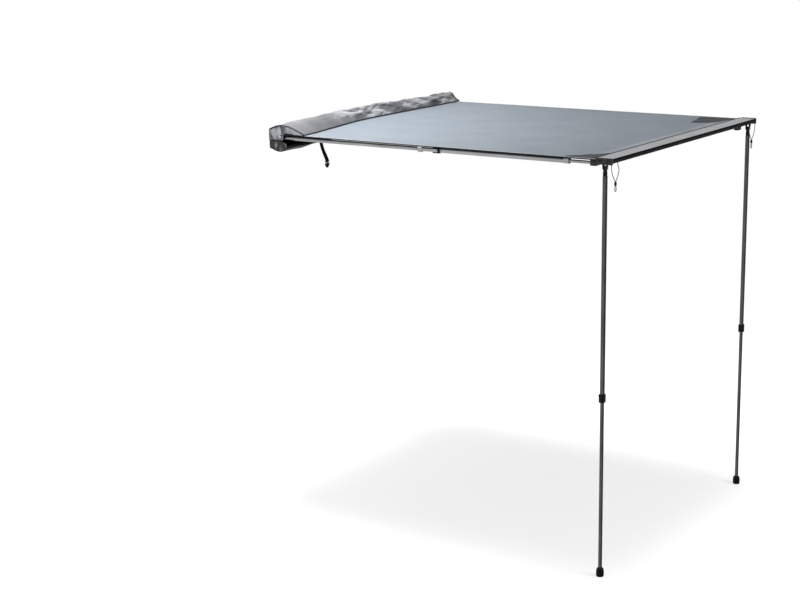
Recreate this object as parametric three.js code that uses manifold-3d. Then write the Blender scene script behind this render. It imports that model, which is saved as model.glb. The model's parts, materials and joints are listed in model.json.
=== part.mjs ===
// Vehicle side awning, open: a back rail that hangs on a roof rack, two telescopic arms, a lead rail
// on two folding telescopic legs, the canopy between the rails, and the open cover bag.
// Millimetres. The origin is on the back rail's flat back face. X runs along the vehicle, to the right
// of someone who stands on the open side, +Y points in to the vehicle and +Z up.

import * as THREE from 'three';
import { mergeVertices } from 'three/addons/utils/BufferGeometryUtils.js';
import Module from 'manifold-3d';

const wasm = await Module();
wasm.setup();

// Overall
const canopyWidth = 1500; // the rails, arms, legs and cover keep to the canopy's sides
const reach = 1750; // back face of the back rail to the middle of the lead rail
const standingHeight = 1840; // ground to the top of the lead rail
const gap = 0.3; // between pieces that touch
const overrun = 2; // how far a cut runs past the face that it opens
const weld = 0.0001;
const roundSides = 20;
const smallSides = 12;
const nutSides = 6;
const squareSides = 4;
const cornerSteps = 4; // along each round corner

// Canopy
const canopyZ = 12;
const canopyThick = 2;
const kederDiameter = 7.2;
const kederBore = 8;
const kederMouth = 3;
const kederEndInset = 3;

// Back rail
const backRailInset = 10; // canopy's side to the rail's end
const backRailDepth = 18;
const backRailTop = 32;
const backRailBottom = -52;
const channelInset = 6; // from a face to the middle of the channel's bore
const channelDepthPlace = -9; // Y of the cover's two channels
const slotZ = -26;
const slotMouth = 9;
const slotLip = 2.5;
const slotInner = 16;
const slotDepth = 7;
const railWall = 2;
const chamberTop = 4;
const chamberBottom = -14;
const backCapThick = 3;
const capTongue = 14;
const capCorner = 4;

// Rack brackets
const bracketWidth = 60;
const bracketPlate = 5;
const bracketFoot = 72;
const bracketTop = -8;
const bracketBottom = -48;
const bracketPlace = 430;
const bracketSlotSpacing = 36;
const bracketSlotWidth = 9;
const bracketSlotLength = 28;
const boltShank = 8;
const boltHole = 9;
const boltHead = 14.4;
const boltHeadThick = 5;
const boltReach = 15;
const nutAcross = 13;
const nutThick = 7;
const nutBore = 8.8;

// Arms
const armInset = 17; // canopy's side to the middle of the arm
const armHingeOut = 44; // from the mount's face to the hinge pin
const armInner = 18;
const armInnerBore = 15;
const armOuter = 22;
const armOuterBore = 18.8;
const armDrop = 17; // canopy to the upper arm
const armPassGap = 1.5; // between a tube and the other arm's clamp as they cross
const armClampWidth = 30;
const armClampHeight = 25;
const armClampLength = 32;
const armClampFromRail = 821; // middle of the lead rail to the middle of the clamp
const armBlockFromRail = 191;
const armOverlap = 100; // inner tube inside the outer one, past the clamp
const armTubeStart = 16; // hinge to the inner tube
const armEyeRadius = 10;
const armEyeHeight = 16;
const armCheek = 3;
const armCheekRadius = 12;
const armBasePlate = 3;
const armBaseHalf = 14;
const armPin = 8;
const armPinHole = 8.8;
const pinHeadOver = 4; // how much wider a pin's head is
const pinHeadThick = 1.4;
const armPlugLength = 34;
const armBlockLength = 24;
const armBlockHeight = 23;
const armTipRod = 14;
const armTipSlack = 1; // tip to the bottom of its socket
const glideFlange = 4;
const glidePlug = 20;

// Clamp levers
const leverPin = 3;
const leverPinHole = 3.8;
const armLeverLength = 100;
const armLeverHeight = 12;
const armLeverThick = 5;
const armLeverEndLength = 22;
const armLeverEndHeight = 22;
const armLeverEndThick = 9;
const armEar = 3;
const armEarReach = 9.5;
const armLeverBarrel = 4.4;
const legLeverLength = 26;
const legLeverWidth = 10;
const legLeverThick = 3.4;
const legEar = 2.6;
const legEarReach = 7.5;
const legLeverBarrel = 3.4;

// Lead rail
const leadRailInset = 8; // canopy's side to the rail's end
const leadRailWidth = 74;
const leadRailHeight = 20;
const leadRailTop = 18;
const grooveHeight = 4;
const grooveDepth = 3;
const grooveZ = 8;
const screwPort = 4.2;
const screwPortOut = -19; // from the rail's middle
const screwPortIn = 17;
const railCapThick = 9;
const railCapOver = 1.6; // how far the cap stands above the rail
const railCapBottom = -8;
const socketLength = 36;
const socketDepth = 25;
const socketWall = 3;
const socketTop = 10;
const socketBack = 2;
const socketSlack = 0.6;
const railCapCorner = 5;

// Legs
const legInset = 40; // canopy's side to the middle of the leg
const legOffset = 14; // each leg from the rail's middle, so that both fold side by side
const legHingeDrop = 24; // under the rail
const legUpper = 16;
const legUpperBore = 13.6;
const legLower = 13;
const legLowerBore = 10.6;
const legEyeRadius = 8;
const legEyeWidth = 13;
const legNeck = 11;
const legBodyTop = 17;
const legBodyLength = 18;
const legBody = 16;
const legPlug = 26;
const legCheek = 2.5;
const legCheekHalf = 9;
const legBaseHalf = 11;
const legBasePlate = 2.5;
const legPin = 5;
const legPinHole = 5.8;
const legClampHeight = 808; // ground to the middle of the clamp
const legClampSize = 24;
const legClampLength = 36;
const legClampCorner = 3;
const legTubeInClamp = 8;
const legOverlap = 150;
const footHeight = 45;
const footTop = 21;
const footBottom = 26;
const footSocket = 25;
const footSleeve = 18;
const footCorner = 4;

// Cover bag
const coverOver = 2; // how far the cover stands past the canopy's side
const coverSheet = 3;
const trayDepth = 110;
const flapDepth = 210; // at its left end, where the flap is thrown back furthest
const coverRise = 66; // top of the flap
const trayDrop = -60;
const trayLip = -50;
const coverNeck = 2;
const gussetThick = 12;
const gussetDepth = 84;
const gussetTop = 52;
const leftGussetBottom = -16;
const rightGussetBottom = 9;
const gussetCorner = 12;
const strapPlace = 470;
const strapWidth = 25;
const strapThick = 1.6;
const strapDrop = 86;
const strapOut = 34;
const buckleWidth = 30;
const buckleLength = 34;
const buckleThick = 6;
const bandSteps = 24;
// Places along the tray's depth, from the back rail out
const trayShares = [0.16, 0.5, 0.85];
// Places along the flap's depth, each with its height as a share of the flap's top
const flapShares = [
  [0.16, 0.74],
  [0.36, 1],
  [0.66, 0.74],
];
// Places along the cover from left to right, each with the flap's depth and height there
const flapRunShares = [
  [0, 1, 0.94],
  [0.08, 0.9, 0.98],
  [0.18, 0.76, 1],
  [0.3, 0.6, 0.97],
  [0.4, 0.49, 0.93],
  [0.52, 0.455, 0.95],
  [0.68, 0.45, 1],
  [0.84, 0.46, 0.96],
  [1, 0.475, 1],
];
const flapToeShare = 0.94;
// The strap's bend: how far out and how far down
const strapBendShares = [0.3, 0.4];
const buckleShoulderShare = 0.33;

// Guy cords
const guyCord = 3;
const guyCordSides = 8;
const guyCordSteps = 54;
const guyCordInset = 3; // outer face of the lead rail to the cord
const toggleWidth = 11;
const toggleDepth = 8;
const toggleLength = 14;
const toggleCorner = 2.5;
const strandSpacing = 3.8; // the two strands inside the toggle

// Places worked out from the sizes
const left = -1;
const right = 1;
const sides = { left, right };
const backRailLength = canopyWidth - 2 * backRailInset;
const leadRailLength = canopyWidth - 2 * leadRailInset;
const coverLength = canopyWidth + 2 * coverOver;
const armPlace = canopyWidth / 2 - armInset; // from the middle
const legPlace = canopyWidth / 2 - legInset;
const railY = -reach;
const railInnerY = railY + leadRailWidth / 2;
const railOuterY = railY - leadRailWidth / 2;
const leadRailBottom = leadRailTop - leadRailHeight;
const railEnd = leadRailLength / 2;
const groundZ = leadRailTop - standingHeight;
const legHingeZ = leadRailBottom - legHingeDrop;
const legLength = legHingeZ - groundZ;
const legClampZ = legClampHeight - legLength; // from the leg's hinge
const armLevels = armOuter / 2 + armClampHeight / 2 + armPassGap;
const armZ = { left: canopyZ - armDrop, right: canopyZ - armDrop - armLevels };
const armHingeY = -armHingeOut;
const frontChannelY = -backRailDepth + channelInset;
const leadChannelY = railInnerY - channelInset;
const armTipEnd = railInnerY + gap + socketBack + armTipSlack - armHingeY; // from the arm's hinge
const armClampY = railY + armClampFromRail - armHingeY;
const armBlockY = railY + armBlockFromRail - armHingeY;
const armInnerEnd = armClampY - armOverlap;

const finishes = {
  alloy: { color: 0xb4b7ba, roughness: 0.38, metalness: 0.9 },
  darkAlloy: { color: 0x47484b, roughness: 0.42, metalness: 0.8 },
  steel: { color: 0x1d1e20, roughness: 0.5, metalness: 0.4 },
  zinc: { color: 0xa6a8ab, roughness: 0.35, metalness: 1 },
  plastic: { color: 0x26272a, roughness: 0.6, metalness: 0 },
  rubber: { color: 0x1a1a1b, roughness: 0.85, metalness: 0 },
  canvas: { color: 0x9aa3ac, roughness: 0.8, metalness: 0 },
  vinyl: { color: 0x4a4c52, roughness: 0.45, metalness: 0 },
  webbing: { color: 0x151516, roughness: 0.9, metalness: 0 },
  cord: { color: 0xb9bcbd, roughness: 0.9, metalness: 0 },
};

// Solids: closed geometry to manifold and back

function solid(geometry) {
  const bare = geometry.clone();
  bare.deleteAttribute('normal');
  bare.deleteAttribute('uv');
  const merged = mergeVertices(bare, weld);
  const vertProperties = new Float32Array(merged.attributes.position.array);
  const triVerts = new Uint32Array(merged.index.array);
  return new wasm.Manifold(new wasm.Mesh({ numProp: 3, vertProperties, triVerts }));
}

function geometryOf(body) {
  const mesh = body.getMesh();
  const geometry = new THREE.BufferGeometry();
  geometry.setAttribute('position', new THREE.BufferAttribute(mesh.vertProperties, 3));
  geometry.setIndex(new THREE.BufferAttribute(mesh.triVerts, 1));
  geometry.computeVertexNormals();
  return geometry;
}

const join = (first, ...others) => others.reduce((body, other) => body.add(other), first);
const cut = (first, ...tools) => tools.reduce((body, tool) => body.subtract(tool), first);

// A block between two corners, given as [low, high] on each axis in either order
function block(x, y, z) {
  const size = [x, y, z].map(([a, b]) => Math.abs(b - a));
  const middle = [x, y, z].map(([a, b]) => (a + b) / 2);
  return solid(new THREE.BoxGeometry(...size).translate(...middle));
}

// Turns geometry that runs along Z so that it runs along the named axis
function alongAxis(geometry, axis) {
  const turn = new THREE.Matrix4();
  if (axis === 'x') turn.makeBasis(unit.y, unit.z, unit.x);
  if (axis === 'y') turn.makeBasis(unit.z, unit.x, unit.y);
  return geometry.applyMatrix4(turn);
}

const unit = {
  x: new THREE.Vector3(1, 0, 0),
  y: new THREE.Vector3(0, 1, 0),
  z: new THREE.Vector3(0, 0, 1),
};

// A round rod along an axis from one place to another, centred on the other two coordinates
function rod(axis, diameter, [from, to], centre, sidesRound = roundSides) {
  const length = Math.abs(to - from);
  const geometry = new THREE.CylinderGeometry(diameter / 2, diameter / 2, length, sidesRound);
  geometry.rotateX(Math.PI / 2);
  alongAxis(geometry, axis);
  const place = new THREE.Vector3(...centre);
  place[axis] = (from + to) / 2;
  return solid(geometry.translate(place.x, place.y, place.z));
}

// A prism along an axis. The outline's points are in the other two axes, in the order
// y,z for x, z,x for y and x,y for z.
function prism(axis, outline, [from, to]) {
  const depth = Math.abs(to - from);
  const geometry = new THREE.ExtrudeGeometry(outline, {
    depth,
    bevelEnabled: false,
    curveSegments: cornerSteps,
  });
  geometry.translate(0, 0, Math.min(from, to));
  return solid(alongAxis(geometry, axis));
}

// A rectangle with round corners, from its low corner to its high one
function roundedOutline([u0, u1], [v0, v1], radius) {
  const shape = new THREE.Shape();
  shape.moveTo(u0 + radius, v0);
  shape.lineTo(u1 - radius, v0);
  shape.absarc(u1 - radius, v0 + radius, radius, -Math.PI / 2, 0);
  shape.lineTo(u1, v1 - radius);
  shape.absarc(u1 - radius, v1 - radius, radius, 0, Math.PI / 2);
  shape.lineTo(u0 + radius, v1);
  shape.absarc(u0 + radius, v1 - radius, radius, Math.PI / 2, Math.PI);
  shape.lineTo(u0, v0 + radius);
  shape.absarc(u0 + radius, v0 + radius, radius, Math.PI, 1.5 * Math.PI);
  return shape;
}

// The outline of a band of even thickness that follows a smooth line through the points
function bandPoints(points, thickness, steps) {
  const curve = new THREE.SplineCurve(points.map(([u, v]) => new THREE.Vector2(u, v)));
  const middle = curve.getPoints(steps);
  const edge = (sign) =>
    middle.map((point, i) => {
      const before = middle[Math.max(i - 1, 0)];
      const after = middle[Math.min(i + 1, steps)];
      const along = after.clone().sub(before).normalize();
      return new THREE.Vector2(-along.y, along.x).multiplyScalar((sign * thickness) / 2).add(point);
    });
  return [...edge(-1), ...edge(1).reverse()];
}

const bandOutline = (...band) => new THREE.Shape(bandPoints(...band));

// A solid along X over outlines in y,z, each as a line outward and back above it, with as many points
function loft(stations) {
  const round = stations[0].outline.length;
  const last = stations.length - 1;
  const position = stations.flatMap(({ x, outline }) => outline.flatMap(({ x: y, y: z }) => [x, y, z]));
  const index = [];
  for (let i = 0; i < last; i += 1) {
    for (let j = 0; j < round; j += 1) {
      const [a, b] = [i * round + j, i * round + ((j + 1) % round)];
      index.push(a, b, b + round, a, b + round, a + round);
    }
  }
  for (const end of [0, last]) {
    for (const [a, b, c] of THREE.ShapeUtils.triangulateShape(stations[end].outline, [])) {
      const face = [a, b, c].map((corner) => corner + end * round);
      index.push(...(end === 0 ? face.reverse() : face));
    }
  }
  const geometry = new THREE.BufferGeometry();
  geometry.setAttribute('position', new THREE.Float32BufferAttribute(position, 3));
  geometry.setIndex(index);
  return solid(geometry);
}

const span = (middle, size) => [middle - size / 2, middle + size / 2];
const squareBar = (size, z) => block(span(0, size), span(0, size), z);

// Pieces: a named mesh in a group

const awning = new THREE.Group();

function groupAt(x, y, z) {
  const group = new THREE.Group();
  group.position.set(x, y, z);
  awning.add(group);
  return group;
}

function piece(name, finish, body, group = awning) {
  const mesh = new THREE.Mesh(geometryOf(body), new THREE.MeshStandardMaterial(finishes[finish]));
  mesh.name = name;
  group.add(mesh);
}

// Back rail: a box section with a bolt slot at its back and three channels for beaded edges

function channel(axisLength, y, z, mouth) {
  const run = span(0, axisLength + overrun);
  return join(rod('x', kederBore, run, [0, y, z], smallSides), block(run, mouth.y, mouth.z));
}

function backRail() {
  const run = span(0, backRailLength);
  const through = span(0, backRailLength + overrun);
  const coverMouth = span(channelDepthPlace, kederMouth);
  const topChannelZ = backRailTop - channelInset;
  const bottomChannelZ = backRailBottom + channelInset;
  return cut(
    block(run, [-backRailDepth, 0], [backRailBottom, backRailTop]),
    block(through, [-slotLip, overrun], span(slotZ, slotMouth)),
    block(through, [-slotLip - slotDepth, -slotLip], span(slotZ, slotInner)),
    block(through, [-backRailDepth + railWall, -railWall], [chamberBottom, chamberTop]),
    channel(backRailLength, frontChannelY, canopyZ, {
      y: [frontChannelY, -backRailDepth - overrun],
      z: span(canopyZ, kederMouth),
    }),
    channel(backRailLength, channelDepthPlace, topChannelZ, {
      y: coverMouth,
      z: [topChannelZ, backRailTop + overrun],
    }),
    channel(backRailLength, channelDepthPlace, bottomChannelZ, {
      y: coverMouth,
      z: [bottomChannelZ, backRailBottom - overrun],
    }),
  );
}

// End cap of the back rail, with a tongue pressed into the chamber
function backCap(side) {
  const face = backRailLength / 2 + gap;
  const plate = roundedOutline([-backRailDepth, 0], [backRailBottom, backRailTop], capCorner);
  const tongueY = [-backRailDepth + railWall + gap, -railWall - gap];
  const tongueZ = [chamberBottom + gap, chamberTop - gap];
  return join(
    prism('x', plate, [side * face, side * (face + backCapThick)]),
    block([side * (face + backCapThick), side * (face - capTongue)], tongueY, tongueZ),
  );
}

// Angle bracket that carries the back rail on the rack, with two slots in its foot
function rackBracket(side) {
  const x = side * bracketPlace;
  const back = [gap, gap + bracketPlate];
  const foot = [bracketBottom, bracketBottom + bracketPlate];
  const slotMiddle = gap + (bracketPlate + bracketFoot) / 2;
  const slots = [left, right].map((place) => {
    const slotX = span(x + (place * bracketSlotSpacing) / 2, bracketSlotWidth);
    const slotY = span(slotMiddle, bracketSlotLength);
    const outline = roundedOutline(slotX, slotY, bracketSlotWidth / 2 - weld);
    return prism('z', outline, [foot[0] - overrun, foot[1] + overrun]);
  });
  return cut(
    join(
      block(span(x, bracketWidth), back, [bracketBottom, bracketTop]),
      block(span(x, bracketWidth), [gap, gap + bracketFoot], foot),
    ),
    ...slots,
    rod('y', boltHole, [-overrun, bracketPlate + overrun], [x, 0, slotZ]),
  );
}

function bracketBolt(x) {
  const head = [-slotLip - gap - boltHeadThick, -slotLip - gap];
  return join(
    block(span(x, boltHead), head, span(slotZ, boltHead)),
    rod('y', boltShank, [head[0] + boltHeadThick / 2, boltReach], [x, 0, slotZ], smallSides),
  );
}

function bracketNut(x) {
  const seat = gap + bracketPlate + gap;
  const corner = nutAcross / Math.cos(Math.PI / nutSides);
  return cut(
    rod('y', corner, [seat, seat + nutThick], [x, 0, slotZ], nutSides),
    rod('y', nutBore, [seat - overrun, seat + nutThick + overrun], [x, 0, slotZ], smallSides),
  );
}

// Fork on the back rail's front face that holds an arm's hinge pin
function armBracket(name) {
  const x = sides[name] * armPlace;
  const z = armZ[name];
  const base = [-backRailDepth - gap, -backRailDepth - gap - armBasePlate];
  const outer = armEyeHeight / 2 + gap + armCheek;
  const cheek = (from, to) =>
    join(
      rod('z', 2 * armCheekRadius, [from, to], [x, armHingeY, 0]),
      block(span(x, 2 * armCheekRadius), [armHingeY, base[0]], [from, to]),
    );
  return cut(
    join(
      block(span(x, 2 * armBaseHalf), base, [z - outer, z + outer]),
      cheek(z + outer - armCheek, z + outer),
      cheek(z - outer, z - outer + armCheek),
    ),
    rod('z', armPinHole, [z - outer - overrun, z + outer + overrun], [x, armHingeY, 0], smallSides),
  );
}

// A pin with a flat head at both ends, as a rivet has
function headedPin(axis, diameter, [from, to], centre) {
  return join(
    rod(axis, diameter, [from, to], centre, smallSides),
    rod(axis, diameter + pinHeadOver, [from, from + pinHeadThick], centre, smallSides),
    rod(axis, diameter + pinHeadOver, [to - pinHeadThick, to], centre, smallSides),
  );
}

function armHingePin(name) {
  const reachUp = armEyeHeight / 2 + gap + armCheek + gap + pinHeadThick;
  const z = armZ[name];
  return headedPin('z', armPin, [z - reachUp, z + reachUp], [sides[name] * armPlace, armHingeY, 0]);
}

// Arm, in its own group: the hinge pin at the origin, the arm along -Y

function armKnuckle() {
  const eye = span(0, armEyeHeight);
  const plug = armInnerBore - 2 * gap;
  return cut(
    join(
      rod('z', 2 * armEyeRadius, eye, [0, 0, 0]),
      rod('y', plug, [0, -armTubeStart - armPlugLength], [0, 0, 0]),
    ),
    rod('z', armPinHole, span(0, armEyeHeight + overrun), [0, 0, 0], smallSides),
  );
}

function roundTube(outside, bore, [from, to]) {
  const past = Math.sign(to - from) * overrun;
  return cut(
    rod('y', outside, [from, to], [0, 0, 0]),
    rod('y', bore, [from - past, to + past], [0, 0, 0]),
  );
}

const armTubeSeat = armClampY + armClampLength / 6; // rear end of the outer tube, inside the clamp

function armClamp(side) {
  const y = span(armClampY, armClampLength);
  const ear = (z) =>
    block(
      [side * (armClampWidth / 2 - armEar), side * (armClampWidth / 2 + armEarReach)],
      [y[0], y[0] + 2 * armLeverBarrel + armEar],
      [z, z + armEar],
    );
  const pivotX = side * (armClampWidth / 2 + gap + armLeverBarrel);
  const pivotY = y[0] + armEar / 2 + armLeverBarrel;
  return cut(
    join(
      prism('y', roundedOutline(span(0, armClampHeight), span(0, armClampWidth), capCorner), y),
      ear(armLeverHeight / 2 + gap),
      ear(-armLeverHeight / 2 - gap - armEar),
    ),
    rod('y', armInner + 4 * gap, [y[0] - overrun, y[1] + overrun], [0, 0, 0]),
    rod('y', armOuter + 2 * gap, [y[0] - overrun, armTubeSeat + gap], [0, 0, 0]),
    rod('z', leverPinHole, span(0, armClampHeight + overrun), [pivotX, pivotY, 0], smallSides),
  );
}

// Lever that lies along the arm, its end swollen for a thumb, with the pin moulded in
function armLever(side) {
  const flat = side * (armClampWidth / 2 + gap);
  const pivotX = flat + side * armLeverBarrel;
  const pivotY = armClampY - armClampLength / 2 + armEar / 2 + armLeverBarrel;
  const end = pivotY + armLeverLength;
  const pinReach = armLeverHeight / 2 + gap + armEar;
  const endOutline = roundedOutline(
    span(0, armLeverEndHeight),
    side > 0 ? [flat - armLeverThick / 2, flat - armLeverThick / 2 + armLeverEndThick]
      : [flat + armLeverThick / 2 - armLeverEndThick, flat + armLeverThick / 2],
    armLeverThick / 2,
  );
  return join(
    rod('z', 2 * armLeverBarrel, span(0, armLeverHeight), [pivotX, pivotY, 0]),
    block([flat, flat + side * armLeverThick], [pivotY, end], span(0, armLeverHeight)),
    prism('y', endOutline, [end - armLeverEndLength, end]),
    rod('z', leverPin, [-pinReach, pinReach], [pivotX, pivotY, 0], smallSides),
  );
}

// Tip: a plug in the outer tube's front end, its collar, and the rod that enters the rail cap's socket
function armTip() {
  const front = armBlockY - armBlockLength;
  const collar = roundedOutline(span(0, armBlockHeight), span(0, armBlockHeight), capCorner);
  return join(
    prism('y', collar, [armBlockY - gap, front]),
    rod('y', armOuterBore - 2 * gap, [armBlockY + armPlugLength / 2, front + capCorner], [0, 0, 0]),
    rod('y', armTipRod, [armBlockY - armBlockLength / 2, armTipEnd], [0, 0, 0]),
  );
}

function armGlide() {
  const end = armInnerEnd - gap;
  return join(
    rod('y', armOuterBore - 2 * gap, [end, end - glideFlange], [0, 0, 0]),
    rod('y', armInnerBore - 2 * gap, [end - glideFlange / 2, end + glidePlug], [0, 0, 0]),
  );
}

function makeArm(name) {
  const group = groupAt(sides[name] * armPlace, armHingeY, armZ[name]);
  const side = sides[name];
  const inner = roundTube(armInner, armInnerBore, [-armTubeStart, armInnerEnd]);
  const outer = roundTube(armOuter, armOuterBore, [armTubeSeat, armBlockY]);
  piece(`${name}_arm_knuckle`, 'plastic', armKnuckle(), group);
  piece(`${name}_arm_inner_tube`, 'alloy', inner, group);
  piece(`${name}_arm_glide`, 'plastic', armGlide(), group);
  piece(`${name}_arm_outer_tube`, 'alloy', outer, group);
  piece(`${name}_arm_clamp`, 'plastic', armClamp(side), group);
  piece(`${name}_arm_lever`, 'alloy', armLever(side), group);
  piece(`${name}_arm_tip`, 'alloy', armTip(), group);
}

// Lead rail: a flat box section with a groove along its outer face and a channel for the canopy

const portZ = (leadRailTop + leadRailBottom) / 2;
const chamberOut = [railOuterY + grooveDepth + 2 * railWall, railY + screwPortOut - screwPort];
const chamberMiddle = [railY + screwPortOut + screwPort, railY + screwPortIn - screwPort];
const chamberHigh = [leadRailBottom + railWall, leadRailTop - railWall];

function leadRail() {
  const run = span(0, leadRailLength);
  const through = span(0, leadRailLength + overrun);
  return cut(
    block(run, [railOuterY, railInnerY], [leadRailBottom, leadRailTop]),
    block(through, [railOuterY - overrun, railOuterY + grooveDepth], span(grooveZ, grooveHeight)),
    block(through, chamberOut, chamberHigh),
    block(through, chamberMiddle, chamberHigh),
    ...[screwPortOut, screwPortIn].map((port) =>
      rod('x', screwPort, through, [0, railY + port, portZ], smallSides),
    ),
    channel(leadRailLength, leadChannelY, canopyZ, {
      y: [leadChannelY, railInnerY + overrun],
      z: span(canopyZ, kederMouth),
    }),
  );
}

// Cap on the lead rail's end. Its inner part is the side-opening socket for the arm's tip.
function railCap(name) {
  const side = sides[name];
  const face = railEnd + gap;
  const outerFace = face + railCapThick;
  const socketStart = side * (outerFace - socketLength);
  const armBore = armTipRod / 2 + socketSlack;
  const socketY = [railInnerY + gap, railInnerY + gap + socketDepth];
  const socketBottom = Math.min(armZ[name] - armBore - socketWall, railCapBottom);
  const plate = roundedOutline(
    [railOuterY - railCapOver, railInnerY + gap],
    [railCapBottom, leadRailTop + railCapOver],
    railCapCorner,
  );
  const body = join(
    prism('x', plate, [side * face, side * outerFace]),
    block(
      [side * face, side * outerFace],
      [railInnerY - railCapCorner, socketY[1]],
      [railCapBottom, socketTop],
    ),
    block([socketStart, side * outerFace], socketY, [socketBottom, socketTop]),
    block(
      [side * (face - capTongue), side * outerFace],
      [chamberMiddle[0] + gap, chamberMiddle[1] - gap],
      [chamberHigh[0] + gap, chamberHigh[1] - gap],
    ),
  );
  return cut(
    body,
    block(
      [socketStart - side * overrun, side * (armPlace + armBore)],
      [socketY[0] + socketBack, socketY[1] + overrun],
      span(armZ[name], 2 * armBore),
    ),
  );
}

// Leg, in its own group: the hinge pin at the origin, the leg down -Z

const legY = { left: railY + legOffset, right: railY - legOffset };

function legBracket() {
  const top = legHingeDrop - gap;
  const inner = legEyeWidth / 2 + gap;
  const cheek = (side) =>
    join(
      rod('y', 2 * legCheekHalf, [side * inner, side * (inner + legCheek)], [0, 0, 0]),
      block(span(0, 2 * legCheekHalf), [side * inner, side * (inner + legCheek)], [0, top]),
    );
  return cut(
    join(
      block(span(0, 2 * legBaseHalf), span(0, 2 * (inner + legCheek)), [top - legBasePlate, top]),
      cheek(left),
      cheek(right),
    ),
    rod('y', legPinHole, span(0, 2 * (inner + legCheek) + overrun), [0, 0, 0], smallSides),
  );
}

function legKnuckle() {
  const bodyEnd = -legBodyTop - legBodyLength;
  return cut(
    join(
      rod('y', 2 * legEyeRadius, span(0, legEyeWidth), [0, 0, 0]),
      block(span(0, legNeck), span(0, legEyeWidth), [0, -legBodyTop - capCorner]),
      prism('z', roundedOutline(span(0, legBody), span(0, legBody), capCorner), [-legBodyTop, bodyEnd]),
      squareBar(legUpperBore - 2 * gap, [bodyEnd + capCorner, bodyEnd - legPlug]),
    ),
    rod('y', legPinHole, span(0, legEyeWidth + overrun), [0, 0, 0], smallSides),
  );
}

function squareTube(outside, bore, [from, to]) {
  const past = Math.sign(to - from) * overrun;
  const corner = (outside - bore) / 2;
  const outline = roundedOutline(span(0, outside), span(0, outside), corner);
  return cut(prism('z', outline, [from, to]), squareBar(bore, [from - past, to + past]));
}

const legTubeEnd = legClampZ - legTubeInClamp;

function legClamp(side) {
  const z = span(legClampZ, legClampLength);
  const pivotX = side * (legClampSize / 2 + gap + legLeverBarrel);
  const pivotZ = z[1] - legEar - legLeverBarrel;
  const ear = (y) =>
    block(
      [side * (legClampSize / 2 - legEar), side * (legClampSize / 2 + legEarReach)],
      [y, y + legEar],
      [pivotZ - legLeverBarrel, z[1]],
    );
  return cut(
    join(
      prism('z', roundedOutline(span(0, legClampSize), span(0, legClampSize), legClampCorner), z),
      ear(legLeverWidth / 2 + gap),
      ear(-legLeverWidth / 2 - gap - legEar),
    ),
    squareBar(legUpper + 2 * gap, [legTubeEnd - gap, z[1] + overrun]),
    squareBar(legLower + 2 * gap, [z[0] - overrun, z[1]]),
    rod('y', leverPinHole, span(0, legClampSize), [pivotX, 0, pivotZ], smallSides),
  );
}

function legLever(side) {
  const flat = side * (legClampSize / 2 + gap);
  const pivotX = flat + side * legLeverBarrel;
  const pivotZ = legClampZ + legClampLength / 2 - legEar - legLeverBarrel;
  const end = pivotZ - legLeverLength;
  const pinReach = legLeverWidth / 2 + gap + legEar;
  return join(
    rod('y', 2 * legLeverBarrel, span(0, legLeverWidth), [pivotX, 0, pivotZ]),
    block([flat, flat + side * legLeverThick], span(0, legLeverWidth), [end, pivotZ]),
    rod('y', leverPin, [-pinReach, pinReach], [pivotX, 0, pivotZ], smallSides),
  );
}

const legLowerTop = legTubeEnd + legOverlap;

function legGlide() {
  const top = legLowerTop + gap;
  return join(
    squareBar(legUpperBore - 2 * gap, [top, top + glideFlange]),
    squareBar(legLowerBore - 2 * gap, [top - glidePlug, top + glideFlange / 2]),
  );
}

// Foot: a square cup, wider at the ground, with a socket for the tube
function foot() {
  const ground = -legLength;
  const turn = Math.PI / squareSides;
  const [top, bottom] = [footTop, footBottom].map((across) => across / Math.SQRT2);
  const geometry = new THREE.CylinderGeometry(top, bottom, footHeight, squareSides, 1);
  geometry.rotateY(turn).rotateX(Math.PI / 2);
  geometry.translate(0, 0, ground + footHeight / 2);
  const socketFloor = ground + footHeight - footSocket;
  const rim = ground + footHeight + footCorner;
  const sleeve = squareBar(footSleeve, [ground + footHeight, rim]);
  return cut(
    join(solid(geometry), sleeve),
    squareBar(legLower + 2 * gap, [socketFloor, rim + overrun]),
  );
}

function makeLeg(name) {
  const side = sides[name];
  const group = groupAt(side * legPlace, legY[name], legHingeZ);
  const tubeStart = -legBodyTop - legBodyLength - gap;
  const footSeat = -legLength + footHeight - footSocket + gap;
  const upper = squareTube(legUpper, legUpperBore, [tubeStart, legTubeEnd]);
  const lower = squareTube(legLower, legLowerBore, [legLowerTop, footSeat]);
  piece(`${name}_leg_bracket`, 'steel', legBracket(), group);
  piece(`${name}_leg_knuckle`, 'plastic', legKnuckle(), group);
  piece(`${name}_leg_upper_tube`, 'darkAlloy', upper, group);
  piece(`${name}_leg_clamp`, 'plastic', legClamp(side), group);
  piece(`${name}_leg_lever`, 'plastic', legLever(side), group);
  piece(`${name}_leg_lower_tube`, 'darkAlloy', lower, group);
  piece(`${name}_leg_glide`, 'plastic', legGlide(), group);
  piece(`${name}_foot`, 'rubber', foot(), group);
}

function legHingePin(name) {
  const half = legEyeWidth / 2 + gap + legCheek + gap + pinHeadThick;
  const y = legY[name];
  return headedPin('y', legPin, [y - half, y + half], [sides[name] * legPlace, 0, legHingeZ]);
}

// Guy cord: a loop that hangs from the cap and the rail's underside, drawn together by a toggle.
// The points are X outward from the leg's hinge, and Z down from the end under the cap.
const guyCordRoute = [
  [37, 0],
  [37, 10],
  [32, 34],
  [17, 56],
  [6.5, 67],
  [2.1, 73.5],
  [1.9, 81],
  [2, 89],
  [5.4, 96.5],
  [6.6, 103],
  [4.6, 110],
  [0, 112.8],
  [-4.6, 110],
  [-6.6, 103],
  [-5.4, 96.5],
  [-2, 89],
  [-1.9, 81],
  [-2.1, 73.5],
  [-6.5, 67],
  [-18, 53],
  [-29, 34],
  [-28, 19],
  [-21, 8],
  [-17, -1],
  [-17, -6],
];
const toggleTop = 74;

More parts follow.
